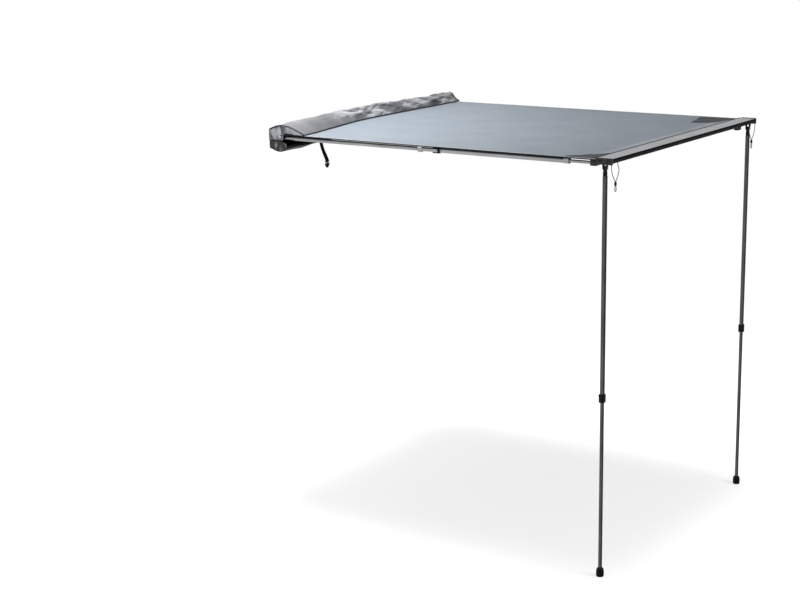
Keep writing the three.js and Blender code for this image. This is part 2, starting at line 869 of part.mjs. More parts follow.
const guyCordTop = railCapBottom - gap;
const guyCordPoint = (side, [out, down]) =>
  new THREE.Vector3(side * (legPlace + out), railOuterY + guyCordInset, guyCordTop - down);

function guyCordLoop(side) {
  const points = guyCordRoute.map((point) => guyCordPoint(side, point));
  points[points.length - 1].z = leadRailBottom - gap;
  const section = new THREE.Shape();
  section.absarc(0, 0, guyCord / 2, 0, 2 * Math.PI);
  const geometry = new THREE.ExtrudeGeometry(section, {
    steps: guyCordSteps,
    curveSegments: guyCordSides / 2,
    bevelEnabled: false,
    extrudePath: new THREE.CatmullRomCurve3(points),
  });
  return solid(geometry);
}

function cordToggle(side) {
  const middle = guyCordPoint(side, [0, toggleTop]);
  const outline = roundedOutline(
    span(middle.x, toggleWidth),
    span(middle.y, toggleDepth),
    toggleCorner,
  );
  const bore = [strandSpacing + guyCord + 4 * gap, guyCord + 2 * gap];
  return cut(
    prism('z', outline, [middle.z - toggleLength, middle.z]),
    block(
      span(middle.x, bore[0]),
      span(middle.y, bore[1]),
      [middle.z - toggleLength - overrun, middle.z + overrun],
    ),
  );
}

// Canopy: one taut sheet, with a tongue at each end that enters the rail's channel

function canopy() {
  const z = span(canopyZ, canopyThick);
  const backEdge = -backRailDepth - gap;
  const frontEdge = railInnerY + gap;
  const bead = kederDiameter / 2 + gap;
  const tongueWidth = Math.min(backRailLength, leadRailLength) - 2 * kederEndInset;
  return join(
    block(span(0, canopyWidth), [backEdge, frontEdge], z),
    block(span(0, tongueWidth), [backEdge - canopyThick, frontChannelY - bead], z),
    block(span(0, tongueWidth), [frontEdge + canopyThick, leadChannelY + bead], z),
  );
}

function keder(length, y) {
  return rod('x', kederDiameter, span(0, length - 2 * kederEndInset), [0, y, canopyZ], smallSides);
}

// Cover bag: a tray under the arms and a flap folded back over the top, each beaded into the back rail

function beadedEdge(beadZ, start) {
  const run = span(0, backRailLength - 2 * kederEndInset);
  return join(
    rod('x', kederDiameter, run, [0, channelDepthPlace, beadZ], smallSides),
    block(run, span(channelDepthPlace, coverNeck), [beadZ, start]),
  );
}

function coverTray() {
  const start = backRailBottom - gap - coverSheet / 2;
  const bottom = trayDrop + coverSheet / 2;
  const [near, middle, lip] = trayShares.map((share) => -share * trayDepth);
  const points = [
    [channelDepthPlace + coverSheet, start],
    [near, (start + bottom) / 2],
    [middle, bottom],
    [lip, start],
    [-trayDepth, trayLip],
  ];
  return join(
    beadedEdge(backRailBottom + channelInset, start),
    prism('x', bandOutline(points, coverSheet, bandSteps), span(0, coverLength)),
  );
}

function coverFlap() {
  const start = backRailTop + gap + coverSheet;
  const rest = canopyZ + canopyThick / 2 + 2 * gap + coverSheet / 2;
  const stations = flapRunShares.map(([along, deep, high]) => {
    const depth = deep * flapDepth;
    const top = high * (coverRise - coverSheet / 2);
    const points = [
      [channelDepthPlace + coverSheet, start],
      [channelDepthPlace - coverSheet, start],
      ...flapShares.map(([out, up]) => [-out * depth, up * top]),
      [-flapToeShare * depth, rest + coverSheet],
      [-depth, rest],
    ];
    return { x: coverLength * (along - 1 / 2), outline: bandPoints(points, coverSheet, bandSteps) };
  });
  return join(
    beadedEdge(backRailTop - channelInset, start),
    loft(stations),
    coverGusset(left, leftGussetBottom),
    coverGusset(right, rightGussetBottom),
  );
}

// End panel of the flap, which hangs beside the back rail's end cap
function coverGusset(side, bottom) {
  const face = backRailLength / 2 + gap + backCapThick + gap;
  const outer = coverLength / 2 + gussetThick;
  const outline = roundedOutline([-gussetDepth, 0], [bottom, gussetTop], gussetCorner);
  return join(
    prism('x', outline, [side * (canopyWidth / 2 + gap), side * outer]),
    block([side * face, side * outer], [-backRailDepth, 0], [bottom + gussetCorner, backRailTop]),
  );
}

// Webbing that hangs from the tray's lip and swings out a little, with the plug half of a buckle
const strapTop = backRailBottom - gap - coverSheet - gap;
const strapRoot = -trayShares[trayShares.length - 1] * trayDepth;

function coverStrap() {
  const [bendOut, bendDown] = strapBendShares;
  const outline = bandOutline(
    [
      [strapRoot, strapTop],
      [strapRoot - bendOut * strapOut, strapTop - bendDown * strapDrop],
      [strapRoot - strapOut, strapTop - strapDrop],
    ],
    strapThick,
    bandSteps,
  );
  return prism('x', outline, span(-strapPlace, strapWidth));
}

function strapBuckle() {
  const x = -strapPlace;
  const top = strapTop - strapDrop - 2 * gap;
  const shoulder = top - buckleShoulderShare * buckleLength;
  const half = buckleWidth / 2;
  const shape = new THREE.Shape();
  shape.moveTo(x - half, top);
  shape.lineTo(x - half, shoulder);
  shape.lineTo(x, top - buckleLength);
  shape.lineTo(x + half, shoulder);
  shape.lineTo(x + half, top);
  const geometry = new THREE.ExtrudeGeometry(shape, { depth: buckleThick, bevelEnabled: false });
  geometry.rotateX(Math.PI / 2).translate(0, strapRoot - strapOut + buckleThick / 2, 0);
  return solid(geometry);
}

piece('back_rail', 'alloy', backRail());
piece('left_back_cap', 'plastic', backCap(left));
piece('right_back_cap', 'plastic', backCap(right));
piece('left_rack_bracket', 'steel', rackBracket(left));
piece('right_rack_bracket', 'steel', rackBracket(right));
for (const name of Object.keys(sides)) {
  piece(`${name}_bracket_bolt`, 'zinc', bracketBolt(sides[name] * bracketPlace));
  piece(`${name}_bracket_nut`, 'zinc', bracketNut(sides[name] * bracketPlace));
  piece(`${name}_arm_bracket`, 'steel', armBracket(name));
  piece(`${name}_arm_pin`, 'zinc', armHingePin(name));
  makeArm(name);
}
piece('lead_rail', 'alloy', leadRail());
piece('left_rail_cap', 'plastic', railCap('left'));
piece('right_rail_cap', 'plastic', railCap('right'));
for (const name of Object.keys(sides)) {
  piece(`${name}_leg_pin`, 'zinc', legHingePin(name));
  makeLeg(name);
  piece(`${name}_guy_cord`, 'cord', guyCordLoop(sides[name]));
  piece(`${name}_cord_toggle`, 'plastic', cordToggle(sides[name]));
}
piece('canopy', 'canvas', canopy());
piece('back_keder', 'rubber', keder(backRailLength, frontChannelY));
piece('front_keder', 'rubber', keder(leadRailLength, leadChannelY));
piece('cover_tray', 'vinyl', coverTray());
piece('cover_flap', 'vinyl', coverFlap());
piece('cover_strap', 'webbing', coverStrap());
piece('strap_buckle', 'plastic', strapBuckle());

export default awning;
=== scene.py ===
# Looks of an open side awning: canopy, cover bag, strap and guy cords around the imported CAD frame.
# Metres, in the CAD frame: X along the rails, +Y from the legs to the back rail, +Z up. The origin is on the
# back rail's back face.

import json
import math

import bpy
import numpy as np
from mathutils import Matrix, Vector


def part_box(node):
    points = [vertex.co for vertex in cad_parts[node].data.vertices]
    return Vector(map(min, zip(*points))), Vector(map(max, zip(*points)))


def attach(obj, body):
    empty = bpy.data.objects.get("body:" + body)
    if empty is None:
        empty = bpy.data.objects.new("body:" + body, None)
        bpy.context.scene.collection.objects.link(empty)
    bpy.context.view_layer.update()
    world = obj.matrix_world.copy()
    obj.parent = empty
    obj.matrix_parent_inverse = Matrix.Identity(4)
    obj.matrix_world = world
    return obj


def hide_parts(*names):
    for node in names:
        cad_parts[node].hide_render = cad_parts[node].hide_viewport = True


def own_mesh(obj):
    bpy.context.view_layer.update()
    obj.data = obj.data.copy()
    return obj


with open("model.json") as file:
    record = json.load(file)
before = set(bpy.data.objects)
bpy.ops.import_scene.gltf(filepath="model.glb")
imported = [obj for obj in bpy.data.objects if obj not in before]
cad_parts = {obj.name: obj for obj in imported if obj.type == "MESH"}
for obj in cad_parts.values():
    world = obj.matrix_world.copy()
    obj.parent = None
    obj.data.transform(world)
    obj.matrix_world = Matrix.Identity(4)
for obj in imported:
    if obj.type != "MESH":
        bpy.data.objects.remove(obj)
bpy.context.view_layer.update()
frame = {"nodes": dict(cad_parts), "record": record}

MM = 0.001
SIDES = (("left", -1), ("right", 1))

# Camera

# Fitted to the rails, legs and feet of the photograph: focal length in pixels of an 800 pixel wide image.
IMAGE_WIDTH = 800
SENSOR = 36.0
FOCAL_PIXELS = 1650.2
CAMERA_PLACE = (-6.7319, -4.8405, 1.0215)
CAMERA_AZIMUTH, CAMERA_PITCH, CAMERA_ROLL = 0.6021, 0.2326, -0.0161
FARTHEST_SEEN = 200


def make_camera():
    """A camera that looks along (cos azimuth, sin azimuth), down by its pitch and turned by its roll."""
    forward = np.array([
        math.cos(CAMERA_PITCH) * math.cos(CAMERA_AZIMUTH),
        math.cos(CAMERA_PITCH) * math.sin(CAMERA_AZIMUTH),
        -math.sin(CAMERA_PITCH),
    ])
    level = np.cross(forward, (0, 0, 1))
    level /= np.linalg.norm(level)
    upright = np.cross(level, forward)
    side = math.cos(CAMERA_ROLL) * level + math.sin(CAMERA_ROLL) * upright
    up = math.cos(CAMERA_ROLL) * upright - math.sin(CAMERA_ROLL) * level
    data = bpy.data.cameras.new("camera")
    data.sensor_width = SENSOR
    data.lens = FOCAL_PIXELS / IMAGE_WIDTH * SENSOR
    data.clip_end = FARTHEST_SEEN
    camera = bpy.data.objects.new("camera", data)
    place = np.eye(4)
    place[:3, :3] = np.column_stack([side, up, -forward])
    place[:3, 3] = CAMERA_PLACE
    camera.matrix_world = Matrix(place.tolist())
    bpy.context.scene.collection.objects.link(camera)
    bpy.context.scene.camera = camera


make_camera()

# Shapes worked out as arrays


def mesh_piece(name, points, faces, finish, uv=None, smooth=True, painted_crease_light=None):
    """A mesh object from points (n, 3) and lists of faces, arrays with a face's corners in each row."""
    points = np.asarray(points, float).reshape(-1, 3)
    corners = np.concatenate([np.asarray(part).ravel() for part in faces]).astype(np.int32)
    sizes = np.concatenate([np.full(len(part), part.shape[1]) for part in faces])
    mesh = bpy.data.meshes.new(name)
    mesh.vertices.add(len(points))
    mesh.vertices.foreach_set("co", points.astype(np.float32).ravel())
    mesh.loops.add(len(corners))
    mesh.loops.foreach_set("vertex_index", corners)
    mesh.polygons.add(len(sizes))
    mesh.polygons.foreach_set("loop_start", (np.cumsum(sizes) - sizes).astype(np.int32))
    mesh.polygons.foreach_set("use_smooth", np.full(len(sizes), smooth))
    if uv is not None:
        layer = mesh.uv_layers.new(name="cloth")
        layer.uv.foreach_set("vector", np.asarray(uv, np.float32)[corners].ravel())
    # Painted highlight and shade per point, which the vinyl material reads
    if painted_crease_light is not None:
        values = np.asarray(painted_crease_light, np.float32).ravel()
        mesh.attributes.new("painted_crease_light", "FLOAT", "POINT").data.foreach_set("value", values)
    mesh.update()
    mesh.materials.append(finish)
    piece = bpy.data.objects.new(name, mesh)
    bpy.context.scene.collection.objects.link(piece)
    return piece


def grid_faces(rows, columns, wrap=False):
    """Corners of a grid's quads, numbered row by row. With wrap the last column joins the first."""
    across = columns if wrap else columns - 1
    row, column = np.meshgrid(np.arange(rows - 1), np.arange(across), indexing="ij")
    beside = (column + 1) % columns
    here = row * columns
    corners = [here + column, here + beside, here + columns + beside, here + columns + column]
    return np.stack(corners, -1).reshape(-1, 4)


def through(controls, steps):
    """Points on a smooth line through controls (..., k, d), by a Catmull-Rom cubic between each two."""
    controls = np.asarray(controls, float)
    last = controls.shape[-2] - 1
    place = np.linspace(0, last, steps)
    start = np.clip(place.astype(int), 0, last - 1)
    share = (place - start)[:, None]
    a, b, c, d = (controls[..., np.clip(start + k, 0, last), :] for k in (-1, 0, 1, 2))
    return 0.5 * (2 * b + (c - a) * share + (2 * a - 5 * b + 4 * c - d) * share**2
                  + (3 * b - a - 3 * c + d) * share**3)


def unit(vectors):
    """Each vector divided by its length."""
    return vectors / np.maximum(np.linalg.norm(vectors, axis=-1, keepdims=True), 1e-12)


def facing(middle):
    """The way that each point of a grid faces: the step along its row crossed with that between rows."""
    return unit(np.cross(np.gradient(middle, axis=1), np.gradient(middle, axis=0)))


def distances(points, axis):
    """How far along the grid's rows or columns each point lies, in metres of cloth."""
    steps = np.linalg.norm(np.diff(points, axis=axis), axis=-1)
    pad = [(0, 0)] * 2
    pad[axis] = (1, 0)
    return np.pad(np.cumsum(steps, axis=axis), pad)


def cloth(name, middle, thickness, finish, painted_crease_light=None):
    """A closed sheet of even thickness round a grid of points: the grid moved half the thickness each way
    along the direction that it faces, with its border joined by a strip."""
    rows, columns = middle.shape[:2]
    out = facing(middle) * thickness / 2
    skin = grid_faces(rows, columns)
    count = rows * columns
    number = np.arange(count).reshape(rows, columns)
    border = np.concatenate([number[0, :-1], number[:-1, -1], number[-1, :0:-1], number[:0:-1, 0]])
    after = np.roll(border, -1)
    strip = np.stack([border, border + count, after + count, after], -1)
    flat = np.stack([distances(middle, 0), distances(middle, 1)], -1).reshape(-1, 2)
    points = np.concatenate([(middle + out).reshape(-1, 3), (middle - out).reshape(-1, 3)])
    faces = [skin, skin[:, ::-1] + count, strip]
    # The painted highlight and shade value, turned over for the underside
    both = None if painted_crease_light is None else np.stack([painted_crease_light, -painted_crease_light])
    return mesh_piece(name, points, faces, finish, np.concatenate([flat, flat]), painted_crease_light=both)


def sweep(name, path, outline, upright, finish, grow=None):
    """A closed outline (m, 2) carried along a path (n, 3), with flat ends. Its first coordinate lies
    along the path crossed with the upright, its second along the upright's part square to the path, and
    grow scales it point by point."""
    path, outline = np.asarray(path, float), np.asarray(outline, float)
    along = unit(np.gradient(path, axis=0))
    across = unit(np.cross(along, upright))
    above = np.cross(across, along)
    scale = np.ones(len(path)) if grow is None else np.asarray(grow)
    placed = outline[None] * scale[:, None, None]
    points = path[:, None] + placed[..., :1] * across[:, None] + placed[..., 1:] * above[:, None]
    rows, columns = points.shape[:2]
    first = np.arange(columns)[None]
    faces = [grid_faces(rows, columns, wrap=True)[:, ::-1], first, first[:, ::-1] + (rows - 1) * columns]
    length = np.concatenate([[0], np.cumsum(np.linalg.norm(np.diff(path, axis=0), axis=1))])
    round_it = np.linalg.norm(np.diff(outline, axis=0, append=outline[:1]), axis=1)
    flat = np.stack(np.meshgrid(length, np.cumsum(round_it) - round_it, indexing="ij"), -1).reshape(-1, 2)
    return mesh_piece(name, points, faces, finish, flat)


def oval(width, height, sides=12, power=1.0):
    """Anticlockwise outline of a round bar, or with a power below one of an ever squarer one."""
    turn = np.arange(sides) * 2 * math.pi / sides
    cosine, sine = np.cos(turn), np.sin(turn)
    return np.stack([
        width / 2 * np.sign(cosine) * np.abs(cosine) ** power,
        height / 2 * np.sign(sine) * np.abs(sine) ** power,
    ], -1)


def stitches(name, rows_of_points, out, pitch, length, width, finish, height=None):
    """Thread or teeth on cloth: every pitch along each line of points, an octahedron half sunk in it."""
    corners = np.array([[1, 0, 0], [-1, 0, 0], [0, 1, 0], [0, -1, 0], [0, 0, 1], [0, 0, -1]], float)
    sides = np.array([
        [0, 2, 4], [2, 1, 4], [1, 3, 4], [3, 0, 4], [2, 0, 5], [1, 2, 5], [3, 1, 5], [0, 3, 5],
    ])
    centres, alongs = [], []
    for line in rows_of_points:
        line = np.asarray(line, float)
        run = np.concatenate([[0], np.cumsum(np.linalg.norm(np.diff(line, axis=0), axis=1))])
        places = np.arange(pitch / 2, run[-1], pitch)
        centres.append(np.stack([np.interp(places, run, line[:, axis]) for axis in range(3)], -1))
        slope = unit(np.gradient(line, axis=0))
        alongs.append(np.stack([np.interp(places, run, slope[:, axis]) for axis in range(3)], -1))
    centre, along = np.concatenate(centres), unit(np.concatenate(alongs))
    above = np.broadcast_to(np.asarray(out, float), along.shape)
    across = unit(np.cross(above, along))
    axes = np.stack([along * length / 2, across * width / 2, above * (height or width) / 2], 1)
    points = centre[:, None] + np.einsum("kc,ncx->nkx", corners, axes)
    faces = sides[None] + 6 * np.arange(len(centre))[:, None, None]
    return mesh_piece(name, points, [faces.reshape(-1, 3)], finish, smooth=False)


def lathe(name, profile, centre, axis, finish, sides=20):
    """A profile of (radius, height) pairs, which begins and ends on the axis, turned about that axis
    through the centre."""
    axis = unit(np.asarray(axis, float))
    across = unit(np.cross(axis, (0.3, 0.5, 0.8)))
    other = np.cross(axis, across)
    turn = np.arange(sides) * 2 * math.pi / sides
    ring = np.cos(turn)[:, None] * across + np.sin(turn)[:, None] * other
    radius, height = np.asarray(profile, float).T
    body = centre + radius[1:-1, None, None] * ring + height[1:-1, None, None] * axis
    points = np.concatenate([body.reshape(-1, 3), [centre + height[0] * axis, centre + height[-1] * axis]])
    rows = len(profile) - 2
    here, beside = np.arange(sides), (np.arange(sides) + 1) % sides
    bottom, top = rows * sides, rows * sides + 1
    fans = [np.stack([beside, here, np.full(sides, bottom)], -1),
            np.stack([here, beside, np.full(sides, top)], -1) + np.array([rows - 1, rows - 1, 0]) * sides]
    return mesh_piece(name, points, [grid_faces(rows, sides, wrap=True), *fans], finish)


def fold_heights(along, across, folds):
    """Height of creased cloth at each place. A fold is (along, across, angle, half length, width,
    height): a ridge that falls off sharply to both sides of its line and softly towards its ends."""
    folds = np.asarray(folds, float)
    shift_a = along[..., None] - folds[:, 0]
    shift_b = across[..., None] - folds[:, 1]
    cosine, sine = np.cos(folds[:, 2]), np.sin(folds[:, 2])
    run = shift_a * cosine + shift_b * sine
    off = shift_b * cosine - shift_a * sine
    return (folds[:, 5] * np.exp(-np.abs(off) / folds[:, 4]) * np.exp(-((run / folds[:, 3]) ** 2))).sum(-1)


def random_folds(seed, count, along, across, angle, half_length, width, height):
    """A table for fold_heights: each value is drawn evenly between the two given, heights up or down."""
    draw = np.random.default_rng(seed)
    spans = (along, across, angle, half_length, width, height)
    table = np.stack([draw.uniform(*span, count) for span in spans], -1)
    table[:, 5] *= draw.choice([-1, 1], count)
    return table


def put_on(piece, body="back_rail_body"):
    """Says which body a piece rides on."""
    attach(piece, body)
    return piece


# Materials


def linear(code):
    """The linear colour of an sRGB code. A channel c becomes c / 12.92 when it is small, and otherwise
    ((c + 0.055) / 1.055) ^ 2.4."""
    channels = [int(code[i:i + 2], 16) / 255 for i in (1, 3, 5)]
    return (*[c / 12.92 if c <= 0.04045 else ((c + 0.055) / 1.055) ** 2.4 for c in channels], 1)


def add_node(tree, kind, inputs=(), stops=(), **settings):
    """Adds a shader node with its settings, and a colour ramp's (place, colour code) stops. An input
    given an output, or a node for its first output, is linked to it, and any other value is set."""
    made = tree.nodes.new(f"ShaderNode{kind}")
    for name, value in settings.items():
        setattr(made, name, value)
    for name, value in dict(inputs).items():
        if isinstance(value, bpy.types.Node):
            value = value.outputs[0]
        if isinstance(value, bpy.types.NodeSocket):
            tree.links.new(value, made.inputs[name])
        else:
            made.inputs[name].default_value = value
    if stops:
        elements = made.color_ramp.elements
        for element, (place, code) in zip(elements, (stops[0], stops[-1])):
            element.position, element.color = place, linear(code)
        for place, code in stops[1:-1]:
            elements.new(place).color = linear(code)
    return made


def new_material(name, **sockets):
    """A new material, its node tree and its Principled shader with the inputs given."""
    material = bpy.data.materials.new(name)
    material.use_nodes = True
    tree = material.node_tree
    shader = tree.nodes["Principled BSDF"]
    for socket, value in sockets.items():
        shader.inputs[socket.replace("_", " ")].default_value = value
    return material, tree, shader


def dress(tree, shader, shade, bump=None, rough=None):
    """Gives the shader its colour, and the bump and the roughness that its pattern makes."""
    tree.links.new(shade.outputs["Color"], shader.inputs["Base Color"])
    if bump:
        tree.links.new(bump.outputs["Normal"], shader.inputs["Normal"])
    if rough:
        tree.links.new(rough.outputs["Result"], shader.inputs["Roughness"])


def extruded_alloy(name, dark, light, roughness, run):
    """Anodised 6063 aluminium, drawn through a die: a satin metal with faint straight lines along the way
    it was drawn, and slow changes in how much it scatters. run scales the pattern, and its low axis is
    the drawn one. Real die lines are 0.1 mm apart. These are 1.5 mm, so that they show."""
    material, tree, shader = new_material(name, Metallic=1.0)
    place = add_node(tree, "TexCoord").outputs["Object"]
    lines_at = add_node(tree, "Mapping", {"Vector": place, "Scale": run})
    lines = add_node(tree, "TexNoise", {"Vector": lines_at, "Scale": 1.0, "Detail": 3.0})
    cloud = add_node(tree, "TexNoise", {"Vector": place, "Scale": 9.0, "Detail": 2.0})
    mixed = add_node(tree, "Math", {0: lines, 1: cloud}, operation="MULTIPLY")
    shade = add_node(tree, "ValToRGB", {"Fac": mixed}, ((0.12, dark), (0.4, light)))
    rough = add_node(tree, "MapRange", {
        "Value": lines, "To Min": roughness - 0.06, "To Max": roughness + 0.08})
    bump = add_node(tree, "Bump", {"Height": lines, "Strength": 0.06, "Distance": 0.3 * MM})
    dress(tree, shader, shade, bump, rough)
    return material, tree, shader, place, shade


# How fast the die lines change per metre: across the drawn direction, and along it
ACROSS, ALONG = 650.0, 2.0
# How far the painted shade on the lead rail's outboard face reaches in from its outer corner,
# and the heights beside its groove
SHADE_PAINT_DEPTH = 3.6 * MM
GROOVE_LOW, GROOVE_HIGH = 5 * MM, 11 * MM


def silver_rail_alloy():
    """The lead rail: clear anodised on top, with painted shade on its outboard face: dark brown grey low
    down and near black from the groove up. The mask is the place in Y and Z, because the faces lie square to
    them."""
    material, tree, shader, place, shade = extruded_alloy(
        "clear_anodised_rail", "#74767a", "#8c8e92", 0.36, (ALONG, ACROSS, ACROSS))
    apart = add_node(tree, "SeparateXYZ", {"Vector": place})
    outboard = add_node(tree, "Math", {
        0: apart.outputs["Y"], 1: RAIL_OUTER + SHADE_PAINT_DEPTH}, operation="LESS_THAN")
    below = add_node(tree, "MapRange", {
        "Value": apart.outputs["Z"], "From Min": GROOVE_LOW, "From Max": GROOVE_HIGH})
    # Painted shade for the outboard face: dark brown grey low down, near black from the groove up
    black = add_node(tree, "ValToRGB", {"Fac": below}, (
        (0.0, "#3d3a38"), (0.35, "#3a3836"), (0.4, "#050505"), (1.0, "#101011")))
    top = add_node(tree, "Math", {0: apart.outputs["Z"], 1: RAIL_TOP - 0.4 * MM}, operation="LESS_THAN")
    mask = add_node(tree, "Math", {0: outboard, 1: top}, operation="MULTIPLY")
    both = add_node(tree, "Mix", {"Factor": mask, "A": shade, "B": black}, data_type="RGBA")
    tree.links.new(both.outputs["Result"], shader.inputs["Base Color"])
    return material


def moulded_nylon(name, dark, light, roughness=0.5):
    """Glass-filled nylon from a spark-eroded mould: dull, with an even grain of 0.6 mm, drawn at 1.4 mm,
    made a little lighter on its peaks as painted highlight."""
    material, tree, shader = new_material(name, Roughness=roughness, Specular_IOR_Level=0.2)
    place = add_node(tree, "TexCoord").outputs["Object"]
    grain = add_node(tree, "TexNoise", {"Vector": place, "Scale": 700.0, "Detail": 2.0})
    scuffs = add_node(tree, "TexNoise", {"Vector": place, "Scale": 60.0, "Detail": 4.0})
    mixed = add_node(tree, "Math", {0: grain, 1: scuffs}, operation="MULTIPLY")
    # Painted highlight: the grain's peaks are lighter
    shade = add_node(tree, "ValToRGB", {"Fac": mixed}, ((0.15, dark), (0.42, light)))
    bump = add_node(tree, "Bump", {"Height": grain, "Strength": 0.35, "Distance": 0.5 * MM})
    dress(tree, shader, shade, bump)
    return material


def powder_coat():
    """Polyester powder coat on folded steel: black, with an orange peel 3 mm across from melted paint."""
    material, tree, shader = new_material("black_powder_coat", Roughness=0.42)
    place = add_node(tree, "TexCoord").outputs["Object"]
    peel = add_node(tree, "TexNoise", {"Vector": place, "Scale": 330.0, "Detail": 1.0})
    shade = add_node(tree, "ValToRGB", {"Fac": peel}, ((0.35, "#151617"), (0.7, "#222326")))
    bump = add_node(tree, "Bump", {"Height": peel, "Strength": 0.25, "Distance": 0.6 * MM})
    dress(tree, shader, shade, bump)
    return material


def zinc_plate():
    """Zinc plated steel, tumbled in the bath: a bluish metal with cloudy patches of 2 to 4 mm."""
    material, tree, shader = new_material("zinc_plate", Metallic=1.0)
    place = add_node(tree, "TexCoord").outputs["Object"]
    cloud = add_node(tree, "TexNoise", {"Vector": place, "Scale": 300.0, "Detail": 3.0})
    shade = add_node(tree, "ValToRGB", {"Fac": cloud}, ((0.3, "#8e9296"), (0.7, "#b9bcc0")))
    rough = add_node(tree, "MapRange", {"Value": cloud, "To Min": 0.25, "To Max": 0.45})
    dress(tree, shader, shade, rough=rough)
    return material


def moulded_rubber():
    """Rubber pressed in a mould: near black and dull, with dust in a fine pitted grain of about 1 mm."""
    material, tree, shader = new_material("moulded_rubber", Roughness=0.78, Specular_IOR_Level=0.2)
    place = add_node(tree, "TexCoord").outputs["Object"]
    pits = add_node(tree, "TexVoronoi", {"Vector": place, "Scale": 800.0})
    dust = add_node(tree, "TexNoise", {"Vector": place, "Scale": 90.0, "Detail": 5.0})
    shade = add_node(tree, "ValToRGB", {"Fac": dust}, ((0.35, "#0a0a0b"), (0.75, "#1b1b1c")))
    bump = add_node(tree, "Bump", {"Height": pits, "Strength": 0.3, "Distance": 0.4 * MM})
    dress(tree, shader, shade, bump)
    return material


# Length in metres of a wave texture's wave at scale 1
WAVE_LENGTH = 0.31831


def woven(tree, per_metre):
    """Height of a plain weave on the piece's own UV map, which is in metres of cloth: the product of two
    crossed waves, each of two threads."""
    flat = add_node(tree, "UVMap", uv_map="cloth")
    bands = [
        add_node(tree, "TexWave", {"Vector": flat, "Scale": per_metre * WAVE_LENGTH / 2, "Distortion": 0.4},
                 wave_type="BANDS", bands_direction=way).outputs["Fac"]
        for way in ("X", "Y")
    ]
    return add_node(tree, "Math", {0: bands[0], 1: bands[1]}, operation="MULTIPLY")


def coated_canvas(name, dark, light, roughness, gloss):
    """Polyurethane coated ripstop polyester: a soft grey cloth whose thin coat catches light at low
    angles, with faint changes of shade of a hand's width and a weave of 0.3 mm, drawn at 3 mm."""
    material, tree, shader = new_material(
        name, Roughness=roughness, Specular_IOR_Level=gloss, Sheen_Weight=0.02, Sheen_Roughness=0.4)
    weave = woven(tree, 330)
    place = add_node(tree, "TexCoord").outputs["Object"]
    cloud = add_node(tree, "TexNoise", {"Vector": place, "Scale": 5.0, "Detail": 5.0})
    shade = add_node(tree, "ValToRGB", {"Fac": cloud}, ((0.35, dark), (0.7, light)))
    bump = add_node(tree, "Bump", {"Height": weave, "Strength": 0.15, "Distance": 0.3 * MM})
    dress(tree, shader, shade, bump)
    return material


def coated_vinyl(name, deep, dark, light, pale, roughness, coat, gloss):
    """PVC coated polyester, calendered: a dark grey sheet with a hard shine, broken by a leather grain of
    2 mm and slanting crumples some 20 mm by 60 mm, with painted highlight and shade from a value stored
    on the cloth: paler on the ridges of its creases and darker in their valleys."""
    material, tree, shader = new_material(
        name, Specular_IOR_Level=gloss, Coat_Weight=coat, Coat_Roughness=0.22)
    flat = add_node(tree, "UVMap", uv_map="cloth")
    pulled = add_node(tree, "Mapping", {
        "Vector": flat, "Rotation": (0, 0, 0.5), "Scale": (0.6, 1.8, 1)})
    crumple = add_node(tree, "TexNoise", {
        "Vector": pulled, "Scale": 30.0, "Detail": 3.0, "Distortion": 0.8})
    grain = add_node(tree, "TexVoronoi", {"Vector": flat, "Scale": 420.0})
    # Painted highlight and shade: the value stored on the cloth's points
    crease_highlight = add_node(tree, "Attribute", attribute_name="painted_crease_light").outputs["Fac"]
    calm = add_node(tree, "MapRange", {"Value": crumple, "To Min": 0.3, "To Max": 0.7})
    tone = add_node(tree, "Math", {0: crease_highlight, 1: 0.45, 2: calm}, operation="MULTIPLY_ADD")
    shade = add_node(tree, "ValToRGB", {"Fac": tone}, (
        (0.1, deep), (0.4, dark), (0.6, light), (0.95, pale)))
    rough = add_node(tree, "MapRange", {
        "Value": crumple, "To Min": roughness - 0.08, "To Max": roughness + 0.14})
    first = add_node(tree, "Bump", {"Height": crumple, "Strength": 0.35, "Distance": 4 * MM})
    second = add_node(tree, "Bump", {
        "Height": grain, "Strength": 0.12, "Distance": 0.4 * MM, "Normal": first})
    dress(tree, shader, shade, second, rough)
    return material


def polyester_webbing(name, dark, light):
    """Woven polyester strap: black yarn in 1.5 mm ribs both ways, dull, with painted highlight on their
    crowns.
    """
    material, tree, shader = new_material(name, Roughness=0.8, Specular_IOR_Level=0.3)
    weave = woven(tree, 660)
    # Painted highlight on the ribs' crowns and painted shade between them
    shade = add_node(tree, "ValToRGB", {"Fac": weave}, ((0.1, dark), (0.8, light)))
    bump = add_node(tree, "Bump", {"Height": weave, "Strength": 0.5, "Distance": 0.6 * MM})
    dress(tree, shader, shade, bump)
    return material


def braided_cord():
    """Braided polyester guy cord: pale grey strands wound both ways, 3 mm apart, painted shade between them.
    """
    material, tree, shader = new_material("braided_cord", Roughness=0.75)
    flat = add_node(tree, "UVMap", uv_map="cloth")
    bands = []
    for turn in (0.9, -0.9):
        at = add_node(tree, "Mapping", {"Vector": flat, "Rotation": (0, 0, turn)})
        bands.append(add_node(tree, "TexWave", {"Vector": at, "Scale": 95.0}).outputs["Fac"])
    strands = add_node(tree, "Math", {0: bands[0], 1: bands[1]}, operation="MAXIMUM")
    # Painted shade in the gaps between the strands
    shade = add_node(tree, "ValToRGB", {"Fac": strands}, (
        (0.25, "#3c3f41"), (0.5, "#7d8184"), (0.95, "#b4b7b9")))
    bump = add_node(tree, "Bump", {"Height": strands, "Strength": 0.6, "Distance": 0.5 * MM})
    dress(tree, shader, shade, bump)
    return material


def sewing_thread():
    """Bonded polyester sewing thread: mid grey, with the small shine of twisted filament."""
    material, tree, shader = new_material("sewing_thread", Roughness=0.5)
    place = add_node(tree, "TexCoord").outputs["Object"]
    twist = add_node(tree, "TexNoise", {"Vector": place, "Scale": 900.0})
    dress(tree, shader, add_node(tree, "ValToRGB", {"Fac": twist}, ((0.3, "#6b6f73"), (0.7, "#a3a7aa"))))
    return material


# Places taken from the CAD nodes

